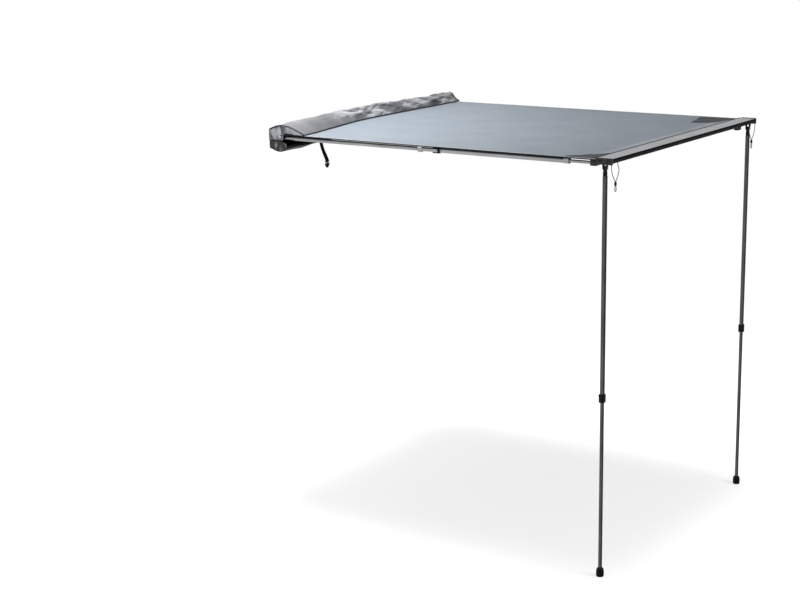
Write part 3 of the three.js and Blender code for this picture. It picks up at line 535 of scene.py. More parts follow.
rail_low, rail_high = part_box("lead_rail")
RAIL_INNER, RAIL_OUTER, RAIL_TOP, RAIL_BOTTOM = rail_high.y, rail_low.y, rail_high.z, rail_low.z
canopy_low, canopy_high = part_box("canopy")
CANOPY_Z = (canopy_low.z + canopy_high.z) / 2
CANOPY_HALF = canopy_high.x
back_low, back_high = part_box("back_rail")
CANOPY_BACK = back_low.y - 0.3 * MM
CANOPY_FRONT = RAIL_INNER + 0.3 * MM
CLOTH = 0.8 * MM
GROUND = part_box("left_foot")[0].z

silver_tube = extruded_alloy("clear_anodised_tube", "#96989b", "#b2b4b7", 0.4, (ACROSS, ALONG, ACROSS))[0]
dark_tube = extruded_alloy("black_anodised_leg", "#4c4d50", "#606165", 0.36, (ACROSS, ACROSS, ALONG))[0]
# The back rail is near black as painted shade: it stands in the shade under the flap and canopy
back_rail_painted_shade = extruded_alloy("dark_back_rail_painted_shade", "#1c1c1e", "#2d2e30", 0.4, (ALONG, ACROSS, ACROSS))[0]
lead_rail_alloy = silver_rail_alloy()
nylon = moulded_nylon("black_moulded_nylon", "#08080a", "#18181b")
speckled_nylon = moulded_nylon("grey_moulded_nylon", "#3a3a3f", "#68696f", 0.6)
steel_coat = powder_coat()
zinc = zinc_plate()
rubber = moulded_rubber()
canvas = coated_canvas("coated_canvas", "#7c848d", "#828a92", 0.6, 0.05)
hem_canvas = coated_canvas("hem_canvas", "#858c92", "#959ba1", 0.6, 0.08)
patch_vinyl = coated_vinyl("patch_vinyl", "#202125", "#26272b", "#34353a", "#3c3d42", 0.6, 0.0, 0.1)
cover_vinyl = coated_vinyl("cover_vinyl", "#1c1d20", "#505156", "#606167", "#a0a2a7", 0.36, 0.06, 0.3)
# The tray and its end panels are the cover's PVC made near black as painted shade: they hang in the shade
# under the flap and canopy
tray_vinyl_painted_shade = coated_vinyl("tray_vinyl_painted_shade", "#050506", "#08080a", "#121215", "#2a2a2d", 0.5, 0.1, 0.3)
tray_end_vinyl_painted_shade = coated_vinyl("tray_end_vinyl_painted_shade", "#060607", "#0e0e10", "#202125", "#505257", 0.4, 0.04, 0.3)
end_vinyl = coated_vinyl("end_vinyl", "#0a0a0b", "#202125", "#38393f", "#626469", 0.36, 0.06, 0.35)
webbing = polyester_webbing("black_webbing", "#0c0c0d", "#242426")
cord_yarn = braided_cord()
thread = sewing_thread()
zip_coil = moulded_nylon("moulded_zip_coil", "#4c4d50", "#85868a", 0.35)
blackened = moulded_nylon("blackened_screw", "#0d0d0e", "#1b1b1d", 0.4)

# Guy cords

# The CAD's route in millimetres: out from the leg's hinge and down from the cap's underside
CORD_ROUTE = [
    (37, 0), (37, 10), (32, 34), (17, 56), (6.5, 67), (2.1, 73.5), (1.9, 81), (2, 89), (5.4, 96.5),
    (6.6, 103), (4.6, 110), (0, 112.8), (-4.6, 110), (-6.6, 103), (-5.4, 96.5), (-2, 89), (-1.9, 81),
    (-2.1, 73.5), (-6.5, 67), (-18, 53), (-29, 34), (-28, 19), (-21, 8), (-17, -1), (-17, -6),
]
CORD_STEPS = 240
CORD_DIAMETER = 3.4 * MM
CORD_TOP = -8.3 * MM
CORD_Y = RAIL_OUTER + 3 * MM
LEG_PLACE = 0.710


def guy_cord(name, side):
    """A round cord along the CAD's route, which lies in one plane beside the rail's outer face."""
    out, down = np.array(CORD_ROUTE, float).T * MM
    points = np.stack([side * (LEG_PLACE + out), np.full(len(out), CORD_Y), CORD_TOP - down], -1)
    points[-1, 2] = RAIL_BOTTOM - 0.3 * MM
    path = through(points, CORD_STEPS)
    cord = sweep(f"{name}_cord", path, oval(CORD_DIAMETER, CORD_DIAMETER), (0, 1, 0), cord_yarn)
    put_on(cord, "lead_rail_body")
    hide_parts(f"{name}_guy_cord")


for side_name, side_sign in SIDES:
    guy_cord(side_name, side_sign)

# Canopy

SAG = 9 * MM
SIDE_SAG_SHARE = 0.06
# Width of the doubled cloth along each side
HEM_WIDTH = 26 * MM
# Heights over the canopy's middle: of the hems, of their stitches and of the corner patches
HEM_LIFT, STITCH_LIFT, PATCH_LIFT = 0.95 * MM, 1.45 * MM, 1.9 * MM


def canopy_height(x, y):
    """Height of the cloth's middle: level at the rails, nearly so at the hems, and between them half a
    sine of sag each way, with soft ridges along Y, gathers at the rails and pulls from the corners."""
    u = np.clip((x + CANOPY_HALF) / (2 * CANOPY_HALF), 0, 1)
    v = np.clip((y - CANOPY_BACK) / (CANOPY_FRONT - CANOPY_BACK), 0, 1)
    between = np.sin(math.pi * v)
    inside = np.sin(math.pi * u)
    sag = SAG * between * (SIDE_SAG_SHARE + (1 - SIDE_SAG_SHARE) * inside)
    ridges = 0.9 * MM * between * inside * (np.sin(23 * u + 2.1 * v) + 0.6 * np.sin(41 * u - 3 * v + 1))
    near_rail = np.exp(-np.minimum(v, 1 - v) / 0.05)
    gathers = 0.35 * MM * inside**0.5 * np.sin(2 * math.pi * x / 0.061) * near_rail
    pulls = 0
    for corner_x in (-CANOPY_HALF, CANOPY_HALF):
        for corner_y in (CANOPY_BACK, CANOPY_FRONT):
            away_x, away_y = np.abs(x - corner_x), np.abs(y - corner_y)
            reach = np.hypot(away_x, away_y)
            turn = np.arctan2(away_y, away_x + 1e-9)
            fading = np.sin(11 * turn) * np.exp(-reach / 0.3)
            pulls = pulls + fading * np.clip(reach / 0.12, 0, 1) * np.sin(2 * turn)
    return CANOPY_Z - sag + ridges * 0.8 + gathers + 1.1 * MM * pulls


def on_canopy(x, y, lift):
    """Points on the canopy at x, y, raised by lift."""
    return np.stack([x, y, canopy_height(x, y) + lift], -1)


def canopy_piece(piece):
    """A piece of the canopy, riding on the back rail's body, with a mesh of its own."""
    put_on(piece)
    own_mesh(piece)
    return piece


def seam(name, lines, pitch=9 * MM, length=6 * MM):
    """Thread stitches along lines on the canopy."""
    return canopy_piece(stitches(name, lines, (0, 0, 1), pitch, length, 1.3 * MM, thread))


def side_hem(name, side):
    """The doubled cloth along one side, the black binding round its edge, which also draws the dark line
    under the hem as painted shade, and its two seams.
    """
    run = np.linspace(CANOPY_BACK - 1 * MM, CANOPY_FRONT + 1 * MM, 141)
    across = np.linspace(CANOPY_HALF - HEM_WIDTH, CANOPY_HALF + 0.8 * MM, 7)
    x, y = np.meshgrid(side * across, run[::-1], indexing="ij")
    if side < 0:
        x, y = x[::-1], y[::-1]
    hem = cloth(f"{name}_hem", on_canopy(x, y, HEM_LIFT), CLOTH, hem_canvas)
    edge = np.full(len(run), side * (CANOPY_HALF + 0.4 * MM))
    # A black binding under the hem's edge: partly a real binding, partly painted shade for the dark line
    # between the hem and the arm
    section = oval(6.5 * MM, 3.4 * MM, 14, 0.7)
    binding = sweep(f"{name}_hem_binding_shade_line", on_canopy(edge, run, -1.9 * MM), section, (0, 0, 1), webbing)
    lines = [
        on_canopy(np.full(len(run), side * (CANOPY_HALF - inset * MM)), run, STITCH_LIFT)
        for inset in (4, 22)
    ]
    sewn = seam(f"{name}_hem_stitches", lines)
    return [canopy_piece(hem), canopy_piece(binding), sewn]


def front_strip():
    """The doubled cloth beside the lead rail, with its two seams."""
    along = np.linspace(-0.722, 0.722, 121)
    x, y = np.meshgrid(along, CANOPY_FRONT + np.linspace(7, 62, 6) * MM, indexing="ij")
    strip = cloth("front_strip", on_canopy(x, y, HEM_LIFT), 0.7 * MM, hem_canvas)
    across = [np.full(len(along), CANOPY_FRONT + inset * MM) for inset in (12, 57)]
    lines = [on_canopy(along, place, 1.4 * MM) for place in across]
    return [canopy_piece(strip), seam("front_strip_stitches", lines)]


def make_canopy():
    """The cloth, its two side hems, its front strip and its corner patches."""
    along, across = np.linspace(-CANOPY_HALF, CANOPY_HALF, 181), np.linspace(CANOPY_FRONT, CANOPY_BACK, 161)
    x, y = np.meshgrid(along, across, indexing="ij")
    sheet = canopy_piece(cloth("canopy_cloth", on_canopy(x, y, 0), CLOTH, canvas))
    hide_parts("canopy")
    parts = []
    for name, side in SIDES:
        parts += side_hem(name, side)
    parts += front_strip()
    for name, corners in CORNER_PATCHES.items():
        parts += corner_patch(name, np.array(corners))


# Corners of the dark patches at the canopy's front corners, as the photograph shows them
CORNER_PATCHES = {
    "left_corner_patch": [(-0.733, -1.560), (-0.722, -1.560), (-0.575, -1.690), (-0.733, -1.696)],
    "right_corner_patch": [(0.520, -1.556), (0.733, -1.510), (0.733, -1.694), (0.556, -1.662)],
}


def corner_patch(name, corners):
    """A four-cornered patch on the canopy, between its corners by shares, sewn near its edge."""
    first, second, third, fourth = corners
    share, other = np.meshgrid(np.linspace(0, 1, 25), np.linspace(0, 1, 25), indexing="ij")

    def place(s, t):
        s, t = np.asarray(s)[..., None], np.asarray(t)[..., None]
        flat = (1 - s) * (1 - t) * first + s * (1 - t) * second + s * t * third + (1 - s) * t * fourth
        return flat[..., 0], flat[..., 1]

    middle = on_canopy(*place(share, other), PATCH_LIFT)
    if facing(middle)[12, 12, 2] < 0:
        middle = middle[::-1]
    patch = cloth(name, middle, CLOTH, patch_vinyl)
    ends = [(0.05, 0.05), (0.95, 0.05), (0.95, 0.95), (0.05, 0.95), (0.05, 0.05)]
    line = np.concatenate([np.linspace(a, b, 30) for a, b in zip(ends, ends[1:])])
    lines = [on_canopy(*place(line[:, 0], line[:, 1]), 2.4 * MM)]
    return [canopy_piece(patch), seam(f"{name}_stitches", lines, 8 * MM, 5 * MM)]


make_canopy()


def front_piping():
    """A black bead of binding along the canopy's front edge, where it enters the lead rail."""
    x = np.linspace(-0.737, 0.737, 90)
    path = np.stack([x, np.full(len(x), RAIL_INNER + 3.6 * MM), np.full(len(x), CANOPY_Z + 4.4 * MM)], -1)
    binding = sweep("front_edge_binding", path, oval(6 * MM, 6.6 * MM, 14), (0, 0, 1), webbing)
    put_on(binding, "lead_rail_body")


front_piping()


def keders():
    """The round rods sewn into the canopy's two ends, each in its rail's channel: a rod as thick as the
    CAD's keder is high, at the end of it that lies away from the canopy."""
    for name, body in (("back_keder", "back_rail_body"), ("front_keder", "lead_rail_body")):
        low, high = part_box(name)
        width = high.z - low.z
        centre_y = high.y - width / 2 if name == "back_keder" else low.y + width / 2
        centre_z = (low.z + high.z) / 2
        x = np.linspace(low.x, high.x, 60)
        path = np.stack([x, np.full(len(x), centre_y), np.full(len(x), centre_z)], -1)
        rod = sweep(f"{name}_rod", path, oval(width, width, 20), (0, 0, 1), webbing)
        put_on(rod, body)
        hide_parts(name)


keders()

# Cover bag

COVER_HALF = 0.752
FLAP_DEPTH = 210 * MM
# From left to right: place, the flap's depth as a share of the deepest, and its crest's height in mm
FLAP_RUN = np.array([
    (0, 1, 56), (0.04, 0.95, 58), (0.08, 0.9, 60), (0.18, 0.76, 63), (0.3, 0.6, 65.5), (0.4, 0.49, 68),
    (0.52, 0.455, 69.5), (0.62, 0.45, 69.5), (0.74, 0.45, 67.5), (0.86, 0.46, 64.5), (0.93, 0.47, 65),
    (1, 0.475, 56),
])
COVER_ROWS, FLAP_COLUMNS, TRAY_COLUMNS = 301, 61, 41
COVER_CLOTH, END_CLOTH = 1.1 * MM, 0.9 * MM
FLAP_REST = 15.2 * MM
NECK_Z = back_high.z + 3.2 * MM
END_X = COVER_HALF + 1 * MM
# Along Y on the flap's end panels: the valley that they fold in at, where their lower edge begins to rise to
# the toe, and where its zip begins. The tray's end panels have no valley, so theirs is far off them
FLAP_VALLEY, EDGE_RISE, ZIP_START, NO_VALLEY = -78 * MM, -84 * MM, -93 * MM, 500 * MM
TRAY_END_TOP, TRAY_LOWEST = -19 * MM, -57 * MM


def smoothed(values, width):
    """Values with a moving average over width of them, the ends held."""
    padded = np.pad(values, width // 2, mode="edge")
    return np.convolve(padded, np.ones(width) / width, mode="valid")[:len(values)]


def flap_surface():
    """Each row is the flap's section: from the channel up over the crest and down to the toe, whose depth
    and crest follow FLAP_RUN. On it lie long soft waves, and creases that crowd the right half, square to
    the cloth. The second value is painted highlight and shade: by the height of the creases, paler on their
    ridges and darker in their valleys, in finer lines of its own, palest past the middle of the flap, and
    darker in a band along the toe."""
    share = np.linspace(0, 1, COVER_ROWS)
    depth = FLAP_DEPTH * smoothed(np.interp(share, FLAP_RUN[:, 0], FLAP_RUN[:, 1]), 17)
    crest = MM * smoothed(np.interp(share, FLAP_RUN[:, 0], FLAP_RUN[:, 2]), 13)
    section = [
        (-6 * MM, NECK_Z), (-12 * MM, NECK_Z + 2 * MM), (-0.14 * depth - 3 * MM, 0.80 * crest),
        (-0.34 * depth, crest), (-0.55 * depth, 0.93 * crest), (-0.80 * depth, 0.62 * crest),
        (-0.96 * depth, FLAP_REST + 6 * MM), (-depth, FLAP_REST),
    ]
    one = np.ones(COVER_ROWS)
    line = through(np.stack([np.stack([y * one, z * one], -1) for y, z in section], 1), FLAP_COLUMNS)
    x = np.broadcast_to(COVER_HALF * (2 * share[:, None] - 1), line.shape[:2])
    middle = np.stack([x, line[..., 0], line[..., 1]], -1)
    down = distances(middle, 1)
    column = np.linspace(0, 1, FLAP_COLUMNS)[None]
    quiet = np.sin(math.pi * column) ** 0.6 * np.clip(column / 0.18, 0, 1)
    crowd = 0.12 + 0.88 * np.clip((share[:, None] - 0.22) / 0.2, 0, 1)
    folds = random_folds(
        7, 90, (-0.42, 0.75), (0.02, 0.16), (-0.6, 0.45), (0.04, 0.15), (0.005, 0.012), (2 * MM, 6.5 * MM))
    long_folds = random_folds(
        3, 9, (-0.7, 0.7), (0.03, 0.2), (-0.12, 0.12), (0.2, 0.45), (0.012, 0.03), (1.5 * MM, 3.5 * MM))
    waves = 1.6 * MM * np.sin(2 * math.pi * (x / 0.33 + 2.5 * down))
    waves = waves + 0.9 * MM * np.sin(2 * math.pi * x / 0.14)
    height = crowd * fold_heights(x, down, folds)
    height = height + fold_heights(x, down, long_folds) * (0.4 + 0.6 * crowd) + waves
    height = height * quiet
    middle = middle + facing(middle) * height[..., None]
    least = FLAP_REST + (back_high.z + 2.2 * MM - FLAP_REST) * (middle[..., 1] > back_low.y - 2 * MM)
    middle[..., 2] = np.maximum(middle[..., 2], least)
    # Painted light for the material: painted shade in a band along the toe, and painted highlight that grows
    # past the flap's middle, most near 0.62 of its length, with finer lines of its own
    toe_painted_shade = np.clip((column - 0.84) / 0.12, 0, 1) * np.clip((share[:, None] - 0.15) / 0.25, 0, 1)
    painted_sheen = 0.8 * crowd - 0.35 + 0.5 * np.exp(-((share[:, None] - 0.62) / 0.13) ** 2)
    lines = random_folds(
        5, 80, (-0.35, 0.75), (0.02, 0.2), (-0.45, 0.6), (0.04, 0.12), (0.004, 0.007), (0.5, 1.1))
    painted_sheen = painted_sheen + crowd * fold_heights(x, down, lines)
    return middle, np.clip(height / (4 * MM), -0.9, 1) * (0.3 + 0.7 * crowd) + painted_sheen - 0.6 * toe_painted_shade


def tray_surface():
    """The tray's section, hung from the rail's lower channel and turned up a little at its lip, with its
    lip and floor sagging in slow waves along X."""
    share = np.linspace(0, 1, COVER_ROWS)
    x = COVER_HALF * (2 * share - 1)
    wave = MM * (1.2 * np.sin(2 * math.pi * x / 0.41) + 0.7 * np.sin(2 * math.pi * x / 0.17 + 1))
    zero = np.zeros(COVER_ROWS)
    section = [
        (-6, -54.0, 0), (-17.6, -56.4, 0.1), (-40, -57.4, 0.3), (-70, -57.6, 0.5), (-93.5, -54.6, 0.8),
        (-106, -49.5, 1), (-110, -43.5, 1),
    ]
    sections = np.stack([np.stack([y * MM + zero, z * MM + sway * wave], -1) for y, z, sway in section], 1)
    line = through(sections, TRAY_COLUMNS)
    near = np.clip((-0.53 - x) / 0.09, 0, 1)
    belly = np.sin(math.pi * np.clip((-20 * MM - line[..., 0]) / (96 * MM), 0, 1))
    line[..., 1] -= 11 * MM * (near * near * (3 - 2 * near))[:, None] * belly
    return np.stack([np.broadcast_to(x[:, None], line.shape[:2]), line[..., 0], line[..., 1]], -1)


def bead(name, z, mouth, finish):
    """The cover's beaded edge inside the rail's channel, with its neck out of the channel's mouth."""
    half = back_high.x - 3 * MM
    rod = oval(7.2 * MM, 7.2 * MM, 16)
    up = 1 if mouth > z else -1
    neck = np.stack([np.clip(rod[:, 0], -1 * MM, 1 * MM), np.full(len(rod), mouth - z)], -1)
    outline = np.where(rod[:, 1:] * up < 3.4 * MM, rod, neck)
    x = np.linspace(-half, half, 8)
    path = np.stack([x, np.full(len(x), -9 * MM), np.full(len(x), z)], -1)
    return put_on(sweep(name, path, outline, (0, 0, 1), finish))


def end_cloth(name, side, top_edge, bottom_edge, valley, seed, finish):
    """Loose cloth at the bag's end, between two lines: it bows out by half a sine each way, folds inwards
    along a sharp valley at one depth, and is crumpled by creases that run mostly up and down."""
    down = np.linspace(0, 1, 37)[None, :]
    middle = top_edge[:, None] * (1 - down)[..., None] + bottom_edge[:, None] * down[..., None]
    along, below = middle[..., 1], distances(middle, 1)
    share = np.linspace(0, 1, len(top_edge))[:, None]
    bow = 5 * MM * np.sin(math.pi * down) * np.sin(math.pi * share) ** 0.5
    fold_in = -13 * MM * np.exp(-np.abs(along - valley) / (6 * MM))
    fold_in = fold_in * np.sin(math.pi * np.clip(down * 1.1, 0, 1)) ** 0.7
    folds = random_folds(
        seed, 22, (along.min(), along.max()), (0, float(below.max())), (0.9, 2.2), (0.02, 0.06),
        (4 * MM, 9 * MM), (1.5 * MM, 4.5 * MM))
    calm = np.clip(np.minimum(down, 1 - down) / 0.12, 0, 1)
    lift = np.clip(fold_heights(along, below, folds), -5 * MM, 5 * MM) * calm
    middle = middle + np.array([side, 0, 0]) * (bow + fold_in + lift)[..., None]
    # Painted highlight and shade: paler on the creases' ridges and darker in their valleys, and paler on the
    # cloth past the valley, towards the toe
    painted_crease_light = lift / (5 * MM) + 0.7 * np.clip((valley - along) / (8 * MM), 0, 1) * (valley < 0)
    if side * facing(middle)[len(top_edge) // 2, 18, 0] < 0:
        middle, painted_crease_light = middle[::-1], painted_crease_light[::-1]
    return put_on(cloth(name, middle, END_CLOTH, finish, painted_crease_light))


def zip_half(name, path, inward, out):
    """Half of an open zip along a cloth's edge: a flat tape whose lip stands past the edge, and the
    coil's teeth on it, one every 2.5 mm."""
    line = np.asarray(path, float)
    tape = sweep(f"{name}_tape", line, oval(11 * MM, 1.3 * MM, 12, 0.4), out, webbing)
    lip = line - np.asarray(inward, float) * 3.4 * MM
    teeth = stitches(f"{name}_teeth", [lip], out, 2.5 * MM, 1.7 * MM, 4.2 * MM, zip_coil, 3.2 * MM)
    return [put_on(tape), put_on(teeth)]


def flap_end(name, side, edge, low):
    """The panel that closes one end of the flap, down to a level that rises to the toe, and the zip half
    on its front lower edge."""
    top = edge.copy()
    top[:, 0] = side * END_X
    top[:, 2] -= 1.4 * MM
    bottom = top.copy()
    past = np.clip((EDGE_RISE - bottom[:, 1]) / (10 * MM), 0, 1)
    level = low + (FLAP_REST - 0.8 * MM - low) * past * past * (3 - 2 * past)
    bottom[:, 2] = np.minimum(level, top[:, 2] - 0.4 * MM)
    panel = end_cloth(f"{name}_flap_end", side, top, bottom, FLAP_VALLEY, 11 + side, end_vinyl)
    open_edge = bottom[bottom[:, 1] < ZIP_START] + [side * 2 * MM, 0, 1.5 * MM]
    return [panel, *zip_half(f"{name}_gusset_zip", open_edge, (0, 0, -1), (side, 0, 0))]


def tray_end(name, side, edge):
    """The panel at one end of the tray. The left one gets a mesh of its own."""
    floor = edge.copy()
    floor[:, 0] = side * END_X
    high = floor.copy()
    high[:, 2] = TRAY_END_TOP - 8 * MM * np.clip((-60 * MM - high[:, 1]) / (50 * MM), 0, 1)
    panel = end_cloth(f"{name}_tray_end", side, high, floor, NO_VALLEY, 23 + side, tray_end_vinyl_painted_shade)
    if side < 0:
        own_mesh(panel)
    return panel


def make_cover():
    """The flap and the tray with their zips, beads and end panels."""
    flap_middle, painted_crease_light = flap_surface()
    flap = cloth("cover_flap_cloth", flap_middle[:, ::-1], COVER_CLOTH, cover_vinyl, -painted_crease_light[:, ::-1])
    put_on(flap)
    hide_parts("cover_flap")
    toe = flap_middle[:, -1] + [0, 0.5 * MM, -0.1 * MM]
    piping = sweep("flap_toe_piping", toe, oval(4.6 * MM, 4.6 * MM, 10), (0, 0, 1), webbing)
    with_flap = [
        put_on(piping),
        *zip_half("flap_left_zip", flap_middle[0, 6:] + [-1.5 * MM, 0, 1.4 * MM], (1, 0, 0), (0, 0, 1)),
        *zip_half("flap_right_zip", flap_middle[-1, 6:] + [1.5 * MM, 0, 1.4 * MM], (-1, 0, 0), (0, 0, 1)),
        bead("flap_bead", 26 * MM, NECK_Z, cover_vinyl),
    ]
    tray_middle = tray_surface()
    tray = cloth("cover_tray_cloth", tray_middle[:, ::-1], COVER_CLOTH, tray_vinyl_painted_shade)
    put_on(tray)
    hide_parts("cover_tray")
    with_tray = [
        *zip_half("tray_zip", tray_middle[:, -1] + [0, -0.6 * MM, 1 * MM], (0, 0, -1), (0, -1, 0)),
        bead("tray_bead", -46 * MM, -54 * MM, tray_vinyl_painted_shade),
    ]
    for (name, side), row, low in zip(SIDES, (0, -1), (-16 * MM, 9 * MM)):
        with_flap += flap_end(name, side, flap_middle[row, 2:], low)
        with_tray.append(tray_end(name, side, tray_middle[row, 3:]))


make_cover()

# Strap and its plug

STRAP_X = -0.470
PLUG_Y = -127.5 * MM
STRAP_LINE = [(-93.5, -57.4), (-103.7, -90), (-127.5, -141.6)]
STRAP_STEPS = 40
STRAP_WIDTH, STRAP_CUT = 0.025, 0.0926


def make_strap():
    """Flat webbing along a smooth line from the tray, its end doubled and sewn round the plug's bar."""
    line = through(np.array(STRAP_LINE, float) * MM, STRAP_STEPS)
    path = np.stack([np.full(STRAP_STEPS, STRAP_X), line[:, 0], line[:, 1]], -1)
    lean = (0, 1, 0.2)
    strap = sweep("cover_strap_webbing", path, oval(STRAP_WIDTH, 1.6 * MM, 20, 0.35), lean, webbing)
    put_on(strap)
    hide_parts("cover_strap")
    behind = path[26:] + [0, -2.1 * MM, 0]
    doubled = sweep("strap_turned_end", behind, oval(STRAP_WIDTH, 1.5 * MM, 20, 0.35), lean, webbing)
    rows = [path[[28, 30, 32]] + [offset * MM, -3 * MM, 0] for offset in (-9, -3, 3, 9)]
    sewn = stitches("strap_stitches", rows, (0, -1, 0), 3.4 * MM, 2.4 * MM, 0.9 * MM, thread)
    put_on(doubled)
    put_on(sewn)


def make_plug():
    """The plug half of a side-release buckle: a squared bar, a shaft down to its nose, and two sprung
    barbs that run back up and out from the nose, each a bar along its own line, thickest at its
    middle."""
    lines = {
        "bar": ([(-13, -146), (0, -146.5), (13, -146)], 8.5, 5.6, 21, 0),
        "shaft": ([(0, -146), (0, -160), (0, -175.5)], 9, 5, 21, 0.3),
        "left_barb": ([(-13.6, -153), (-11.5, -162), (-6.5, -170), (0, -175.2)], 6.5, 5.6, 25, 0.35),
        "right_barb": ([(13.6, -153), (11.5, -162), (6.5, -170), (0, -175.2)], 6.5, 5.6, 25, 0.35),
    }
    for part, (points, width, depth, steps, taper) in lines.items():
        flat = through(np.array(points, float) * MM, steps)
        path = np.stack([STRAP_X + flat[:, 0], np.full(steps, PLUG_Y), flat[:, 1]], -1)
        share = np.linspace(-1, 1, steps)
        bar = sweep(f"strap_plug_{part}", path, oval(width * MM, depth * MM, 16, 0.5), (0, 1, 0), nylon,
                    grow=1 - taper * share**4)
        put_on(bar)
    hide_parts("strap_buckle")


make_strap()
make_plug()

# Screws in the rail caps


def cap_screws():
    """Two pan heads in each end cap of the lead rail, over its screw ports: low domes, recessed."""
    profile = np.array([
        (0, 0), (3.9, 0), (4.1, 0.5), (3.8, 1.3), (2.9, 2.0), (1.7, 2.3), (1.5, 2.2), (1.3, 1.1), (0, 1.0),
    ]) * MM
    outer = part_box("right_rail_cap")[1].x
    middle_y = (RAIL_INNER + RAIL_OUTER) / 2
    for name, side in SIDES:
        for number, offset in enumerate((-19, 17), 1):
            centre = np.array([side * (outer + 0.2 * MM), middle_y + offset * MM, 8 * MM])
            screw = lathe(f"{name}_cap_screw_{number}", profile, centre, (side, 0, 0), blackened)
            put_on(screw, "lead_rail_body")


cap_screws()


def leg_feet():
    """A rubber ferrule on each leg's end: turned with a rounded sole, a moulded groove round its side and
    a shoulder that closes on the tube."""
    profile = np.array([
        (0, 0), (13.2, 0), (15.4, 1.0), (16.6, 3.6), (17.0, 8.4), (16.1, 9.2), (16.1, 10.6), (17.3, 11.4),
        (17.3, 20), (16.7, 28), (15.0, 34.5), (13.0, 38.6), (11.2, 39.8), (0, 40),
    ]) * MM
    for name, _ in SIDES:
        low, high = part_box(f"{name}_foot")
        centre = np.array([(low.x + high.x) / 2, (low.y + high.y) / 2, low.z])
        foot = lathe(f"{name}_foot_ferrule", profile, centre, (0, 0, 1), rubber, sides=40)
        put_on(foot, f"{name}_leg_lower")
        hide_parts(f"{name}_foot")


leg_feet()

# Finishes of the CAD nodes

FINISH_OF_SLOT = {
    "alloy": silver_tube, "dark_alloy": dark_tube, "steel": steel_coat, "zinc": zinc, "plastic": nylon,
    "rubber": rubber, "canvas": canvas, "vinyl": cover_vinyl, "webbing": webbing, "cord": cord_yarn,
}
FINISH_OF_NODE = {
    # The back rail's near black finish is painted shade
    "lead_rail": lead_rail_alloy, "back_rail": back_rail_painted_shade,
    "left_rail_cap": speckled_nylon, "right_rail_cap": speckled_nylon,
}
for row in frame["record"]["subparts"]:
    node = frame["nodes"][row["node"]]
    finish = FINISH_OF_NODE.get(row["node"], FINISH_OF_SLOT[row["material_slot"]])
    if not node.material_slots:
        node.data.materials.append(finish)
    for material_slot in node.material_slots:
        material_slot.material = finish

# Floor, world and lamps

FLOOR_HALF = 60
# The pieces that the left lamp lights
DARK_END = ("left_flap_end", "left_tray_end", "left_gusset_zip_teeth")


def make_floor():
    """A pale floor whose shadows show softly: most of what the camera sees of it is white by itself, and
    all of it is, further than a few metres from the awning, where it meets the white background. To
    everything but the camera it is a darker grey, so that little light comes up from it, but for a white
    card behind the legs that only reflections show: the legs' left faces mirror it, and their front ones
    the dark floor."""
    points = [(FLOOR_HALF * x, FLOOR_HALF * y, GROUND) for x, y in ((-1, -1), (1, -1), (1, 1), (-1, 1))]
    material = bpy.data.materials.new("pale_floor")
    material.use_nodes = True
    tree = material.node_tree
    tree.nodes.clear()
    place = add_node(tree, "TexCoord").outputs["Object"]
    flat = add_node(tree, "VectorMath", {0: place, 1: (1, 1, 0)}, operation="MULTIPLY")
    away = add_node(tree, "VectorMath", {0: flat, 1: (0, -0.9, 0)}, operation="DISTANCE").outputs["Value"]
    far = add_node(tree, "MapRange", {
        "Value": away, "From Min": 2.5, "From Max": 6.0, "To Min": 0.6, "To Max": 1.0})
    rays = add_node(tree, "LightPath")
    seen = add_node(tree, "Math", {0: rays.outputs["Is Camera Ray"], 1: far}, operation="MULTIPLY")
    apart = add_node(tree, "SeparateXYZ", {"Vector": place})
    behind = add_node(tree, "Math", {0: apart.outputs["Y"], 1: -1.75}, operation="GREATER_THAN")
    card = add_node(tree, "Math", {0: rays.outputs["Is Glossy Ray"], 1: behind}, operation="MULTIPLY")
    seen = add_node(tree, "Math", {0: seen, 1: card}, operation="MAXIMUM")
    paint = add_node(tree, "Mix", {
        "Factor": rays.outputs["Is Camera Ray"], "A": linear("#5a5a5a"), "B": linear("#eeeeee"),
    }, data_type="RGBA")
    diffuse = add_node(tree, "BsdfDiffuse", {"Color": paint.outputs["Result"]})
    white = add_node(tree, "Emission", {"Color": (1, 1, 1, 1), "Strength": 1.0})
    mixed = add_node(tree, "MixShader", {0: seen, 1: diffuse, 2: white})
    add_node(tree, "OutputMaterial", {"Surface": mixed})
    floor = mesh_piece("floor", points, [np.array([[0, 1, 2, 3]])], material, smooth=False)
    return floor


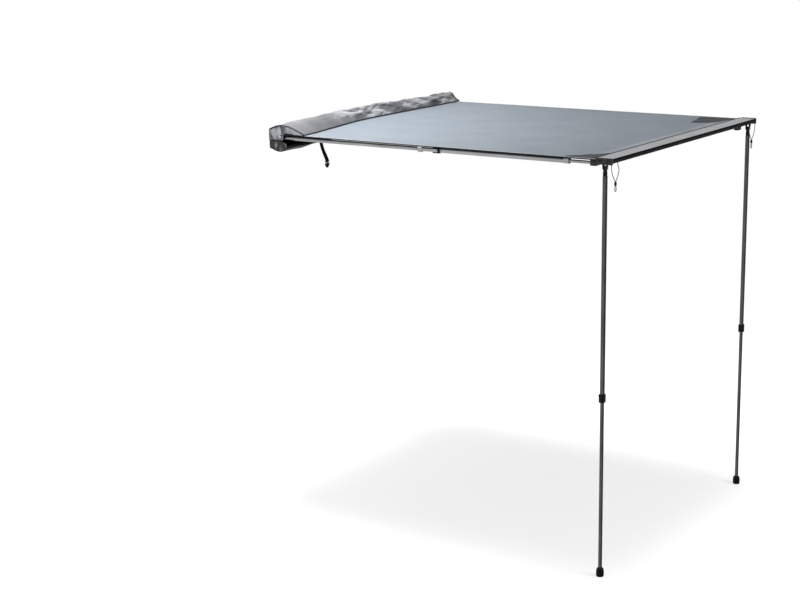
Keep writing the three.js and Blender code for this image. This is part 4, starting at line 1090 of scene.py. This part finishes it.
def make_world():
    """White where the camera, a reflection or a clear material looks, and a soft light otherwise."""
    world = bpy.data.worlds.new("studio")
    bpy.context.scene.world = world
    world.use_nodes = True
    tree = world.node_tree
    tree.nodes.clear()
    rays = add_node(tree, "LightPath").outputs
    seen = add_node(tree, "Math", {0: rays["Is Camera Ray"], 1: rays["Is Glossy Ray"]}, operation="MAXIMUM")
    seen = add_node(tree, "Math", {0: seen, 1: rays["Is Transmission Ray"]}, operation="MAXIMUM")
    strength = add_node(tree, "MapRange", {"Value": seen, "To Min": 0.38, "To Max": 1.0})
    background = add_node(tree, "Background", {"Color": (1, 1, 1, 1), "Strength": strength})
    add_node(tree, "OutputWorld", {"Surface": background})


def lamp(name, place, aim, width, height, watts):
    """A flat softbox that faces its aim and isn't seen itself."""
    data = bpy.data.lights.new(name, "AREA")
    data.shape, data.size, data.size_y, data.energy = "RECTANGLE", width, height, watts
    made = bpy.data.objects.new(name, data)
    made.visible_camera = False
    bpy.context.scene.collection.objects.link(made)
    back = unit(np.array(place, float) - np.array(aim, float))
    side = unit(np.cross((0, 0, 1), back))
    turn = np.eye(4)
    turn[:3, :3] = np.column_stack([side, np.cross(back, side), back])
    turn[:3, 3] = place
    made.matrix_world = Matrix(turn.tolist())
    return made


def shine_only_on(made, pieces):
    """Keeps a lamp's light off everything but the pieces given, by light linking."""
    group = bpy.data.collections.new(f"{made.name}_receivers")
    for piece in pieces:
        group.objects.link(piece)
    made.light_linking.receiver_collection = group


floor = make_floor()
make_world()
bpy.context.scene.view_settings.view_transform = "Standard"
# A softbox over the bag, from which the canopy's light falls off towards the lead rail
lamp("bag_softbox", (-0.55, -0.05, 1.05), (-0.3, -0.4, 0.0), 2.0, 0.7, 33)
# A long one low behind the bag, which rims the bag's folds and skims the canopy
lamp("back_softbox", (0.9, 1.8, 0.85), (0.1, -0.5, 0.0), 5.0, 1.3, 18)
lamp("top_softbox", (0.6, 0.4, 2.0), (0.2, -0.6, 0), 2.6, 1.2, 9)
# One to the left, for the bag's dark end alone
left_softbox = lamp("left_softbox", (-2.6, -0.9, 0.2), (-0.75, -0.1, 0), 1.3, 1.3, 110)
shine_only_on(left_softbox, [bpy.data.objects[name] for name in DARK_END])
lamp("front_fill", (3.0, -5.5, 2.5), (0, -1.0, -0.6), 3.0, 2.0, 60)
# Two for the floor alone: one above, for the canopy's shadow, and one in front, for the legs'
above_floor = lamp("above_floor", (-0.2, -0.9, 9.0), (0, -1.3, GROUND), 2.8, 2.8, 1400)
before_floor = lamp("before_floor", (0.0, -7.0, 1.2), (0, -1.6, GROUND), 2.2, 1.2, 260)
shine_only_on(above_floor, [floor])
shine_only_on(before_floor, [floor])
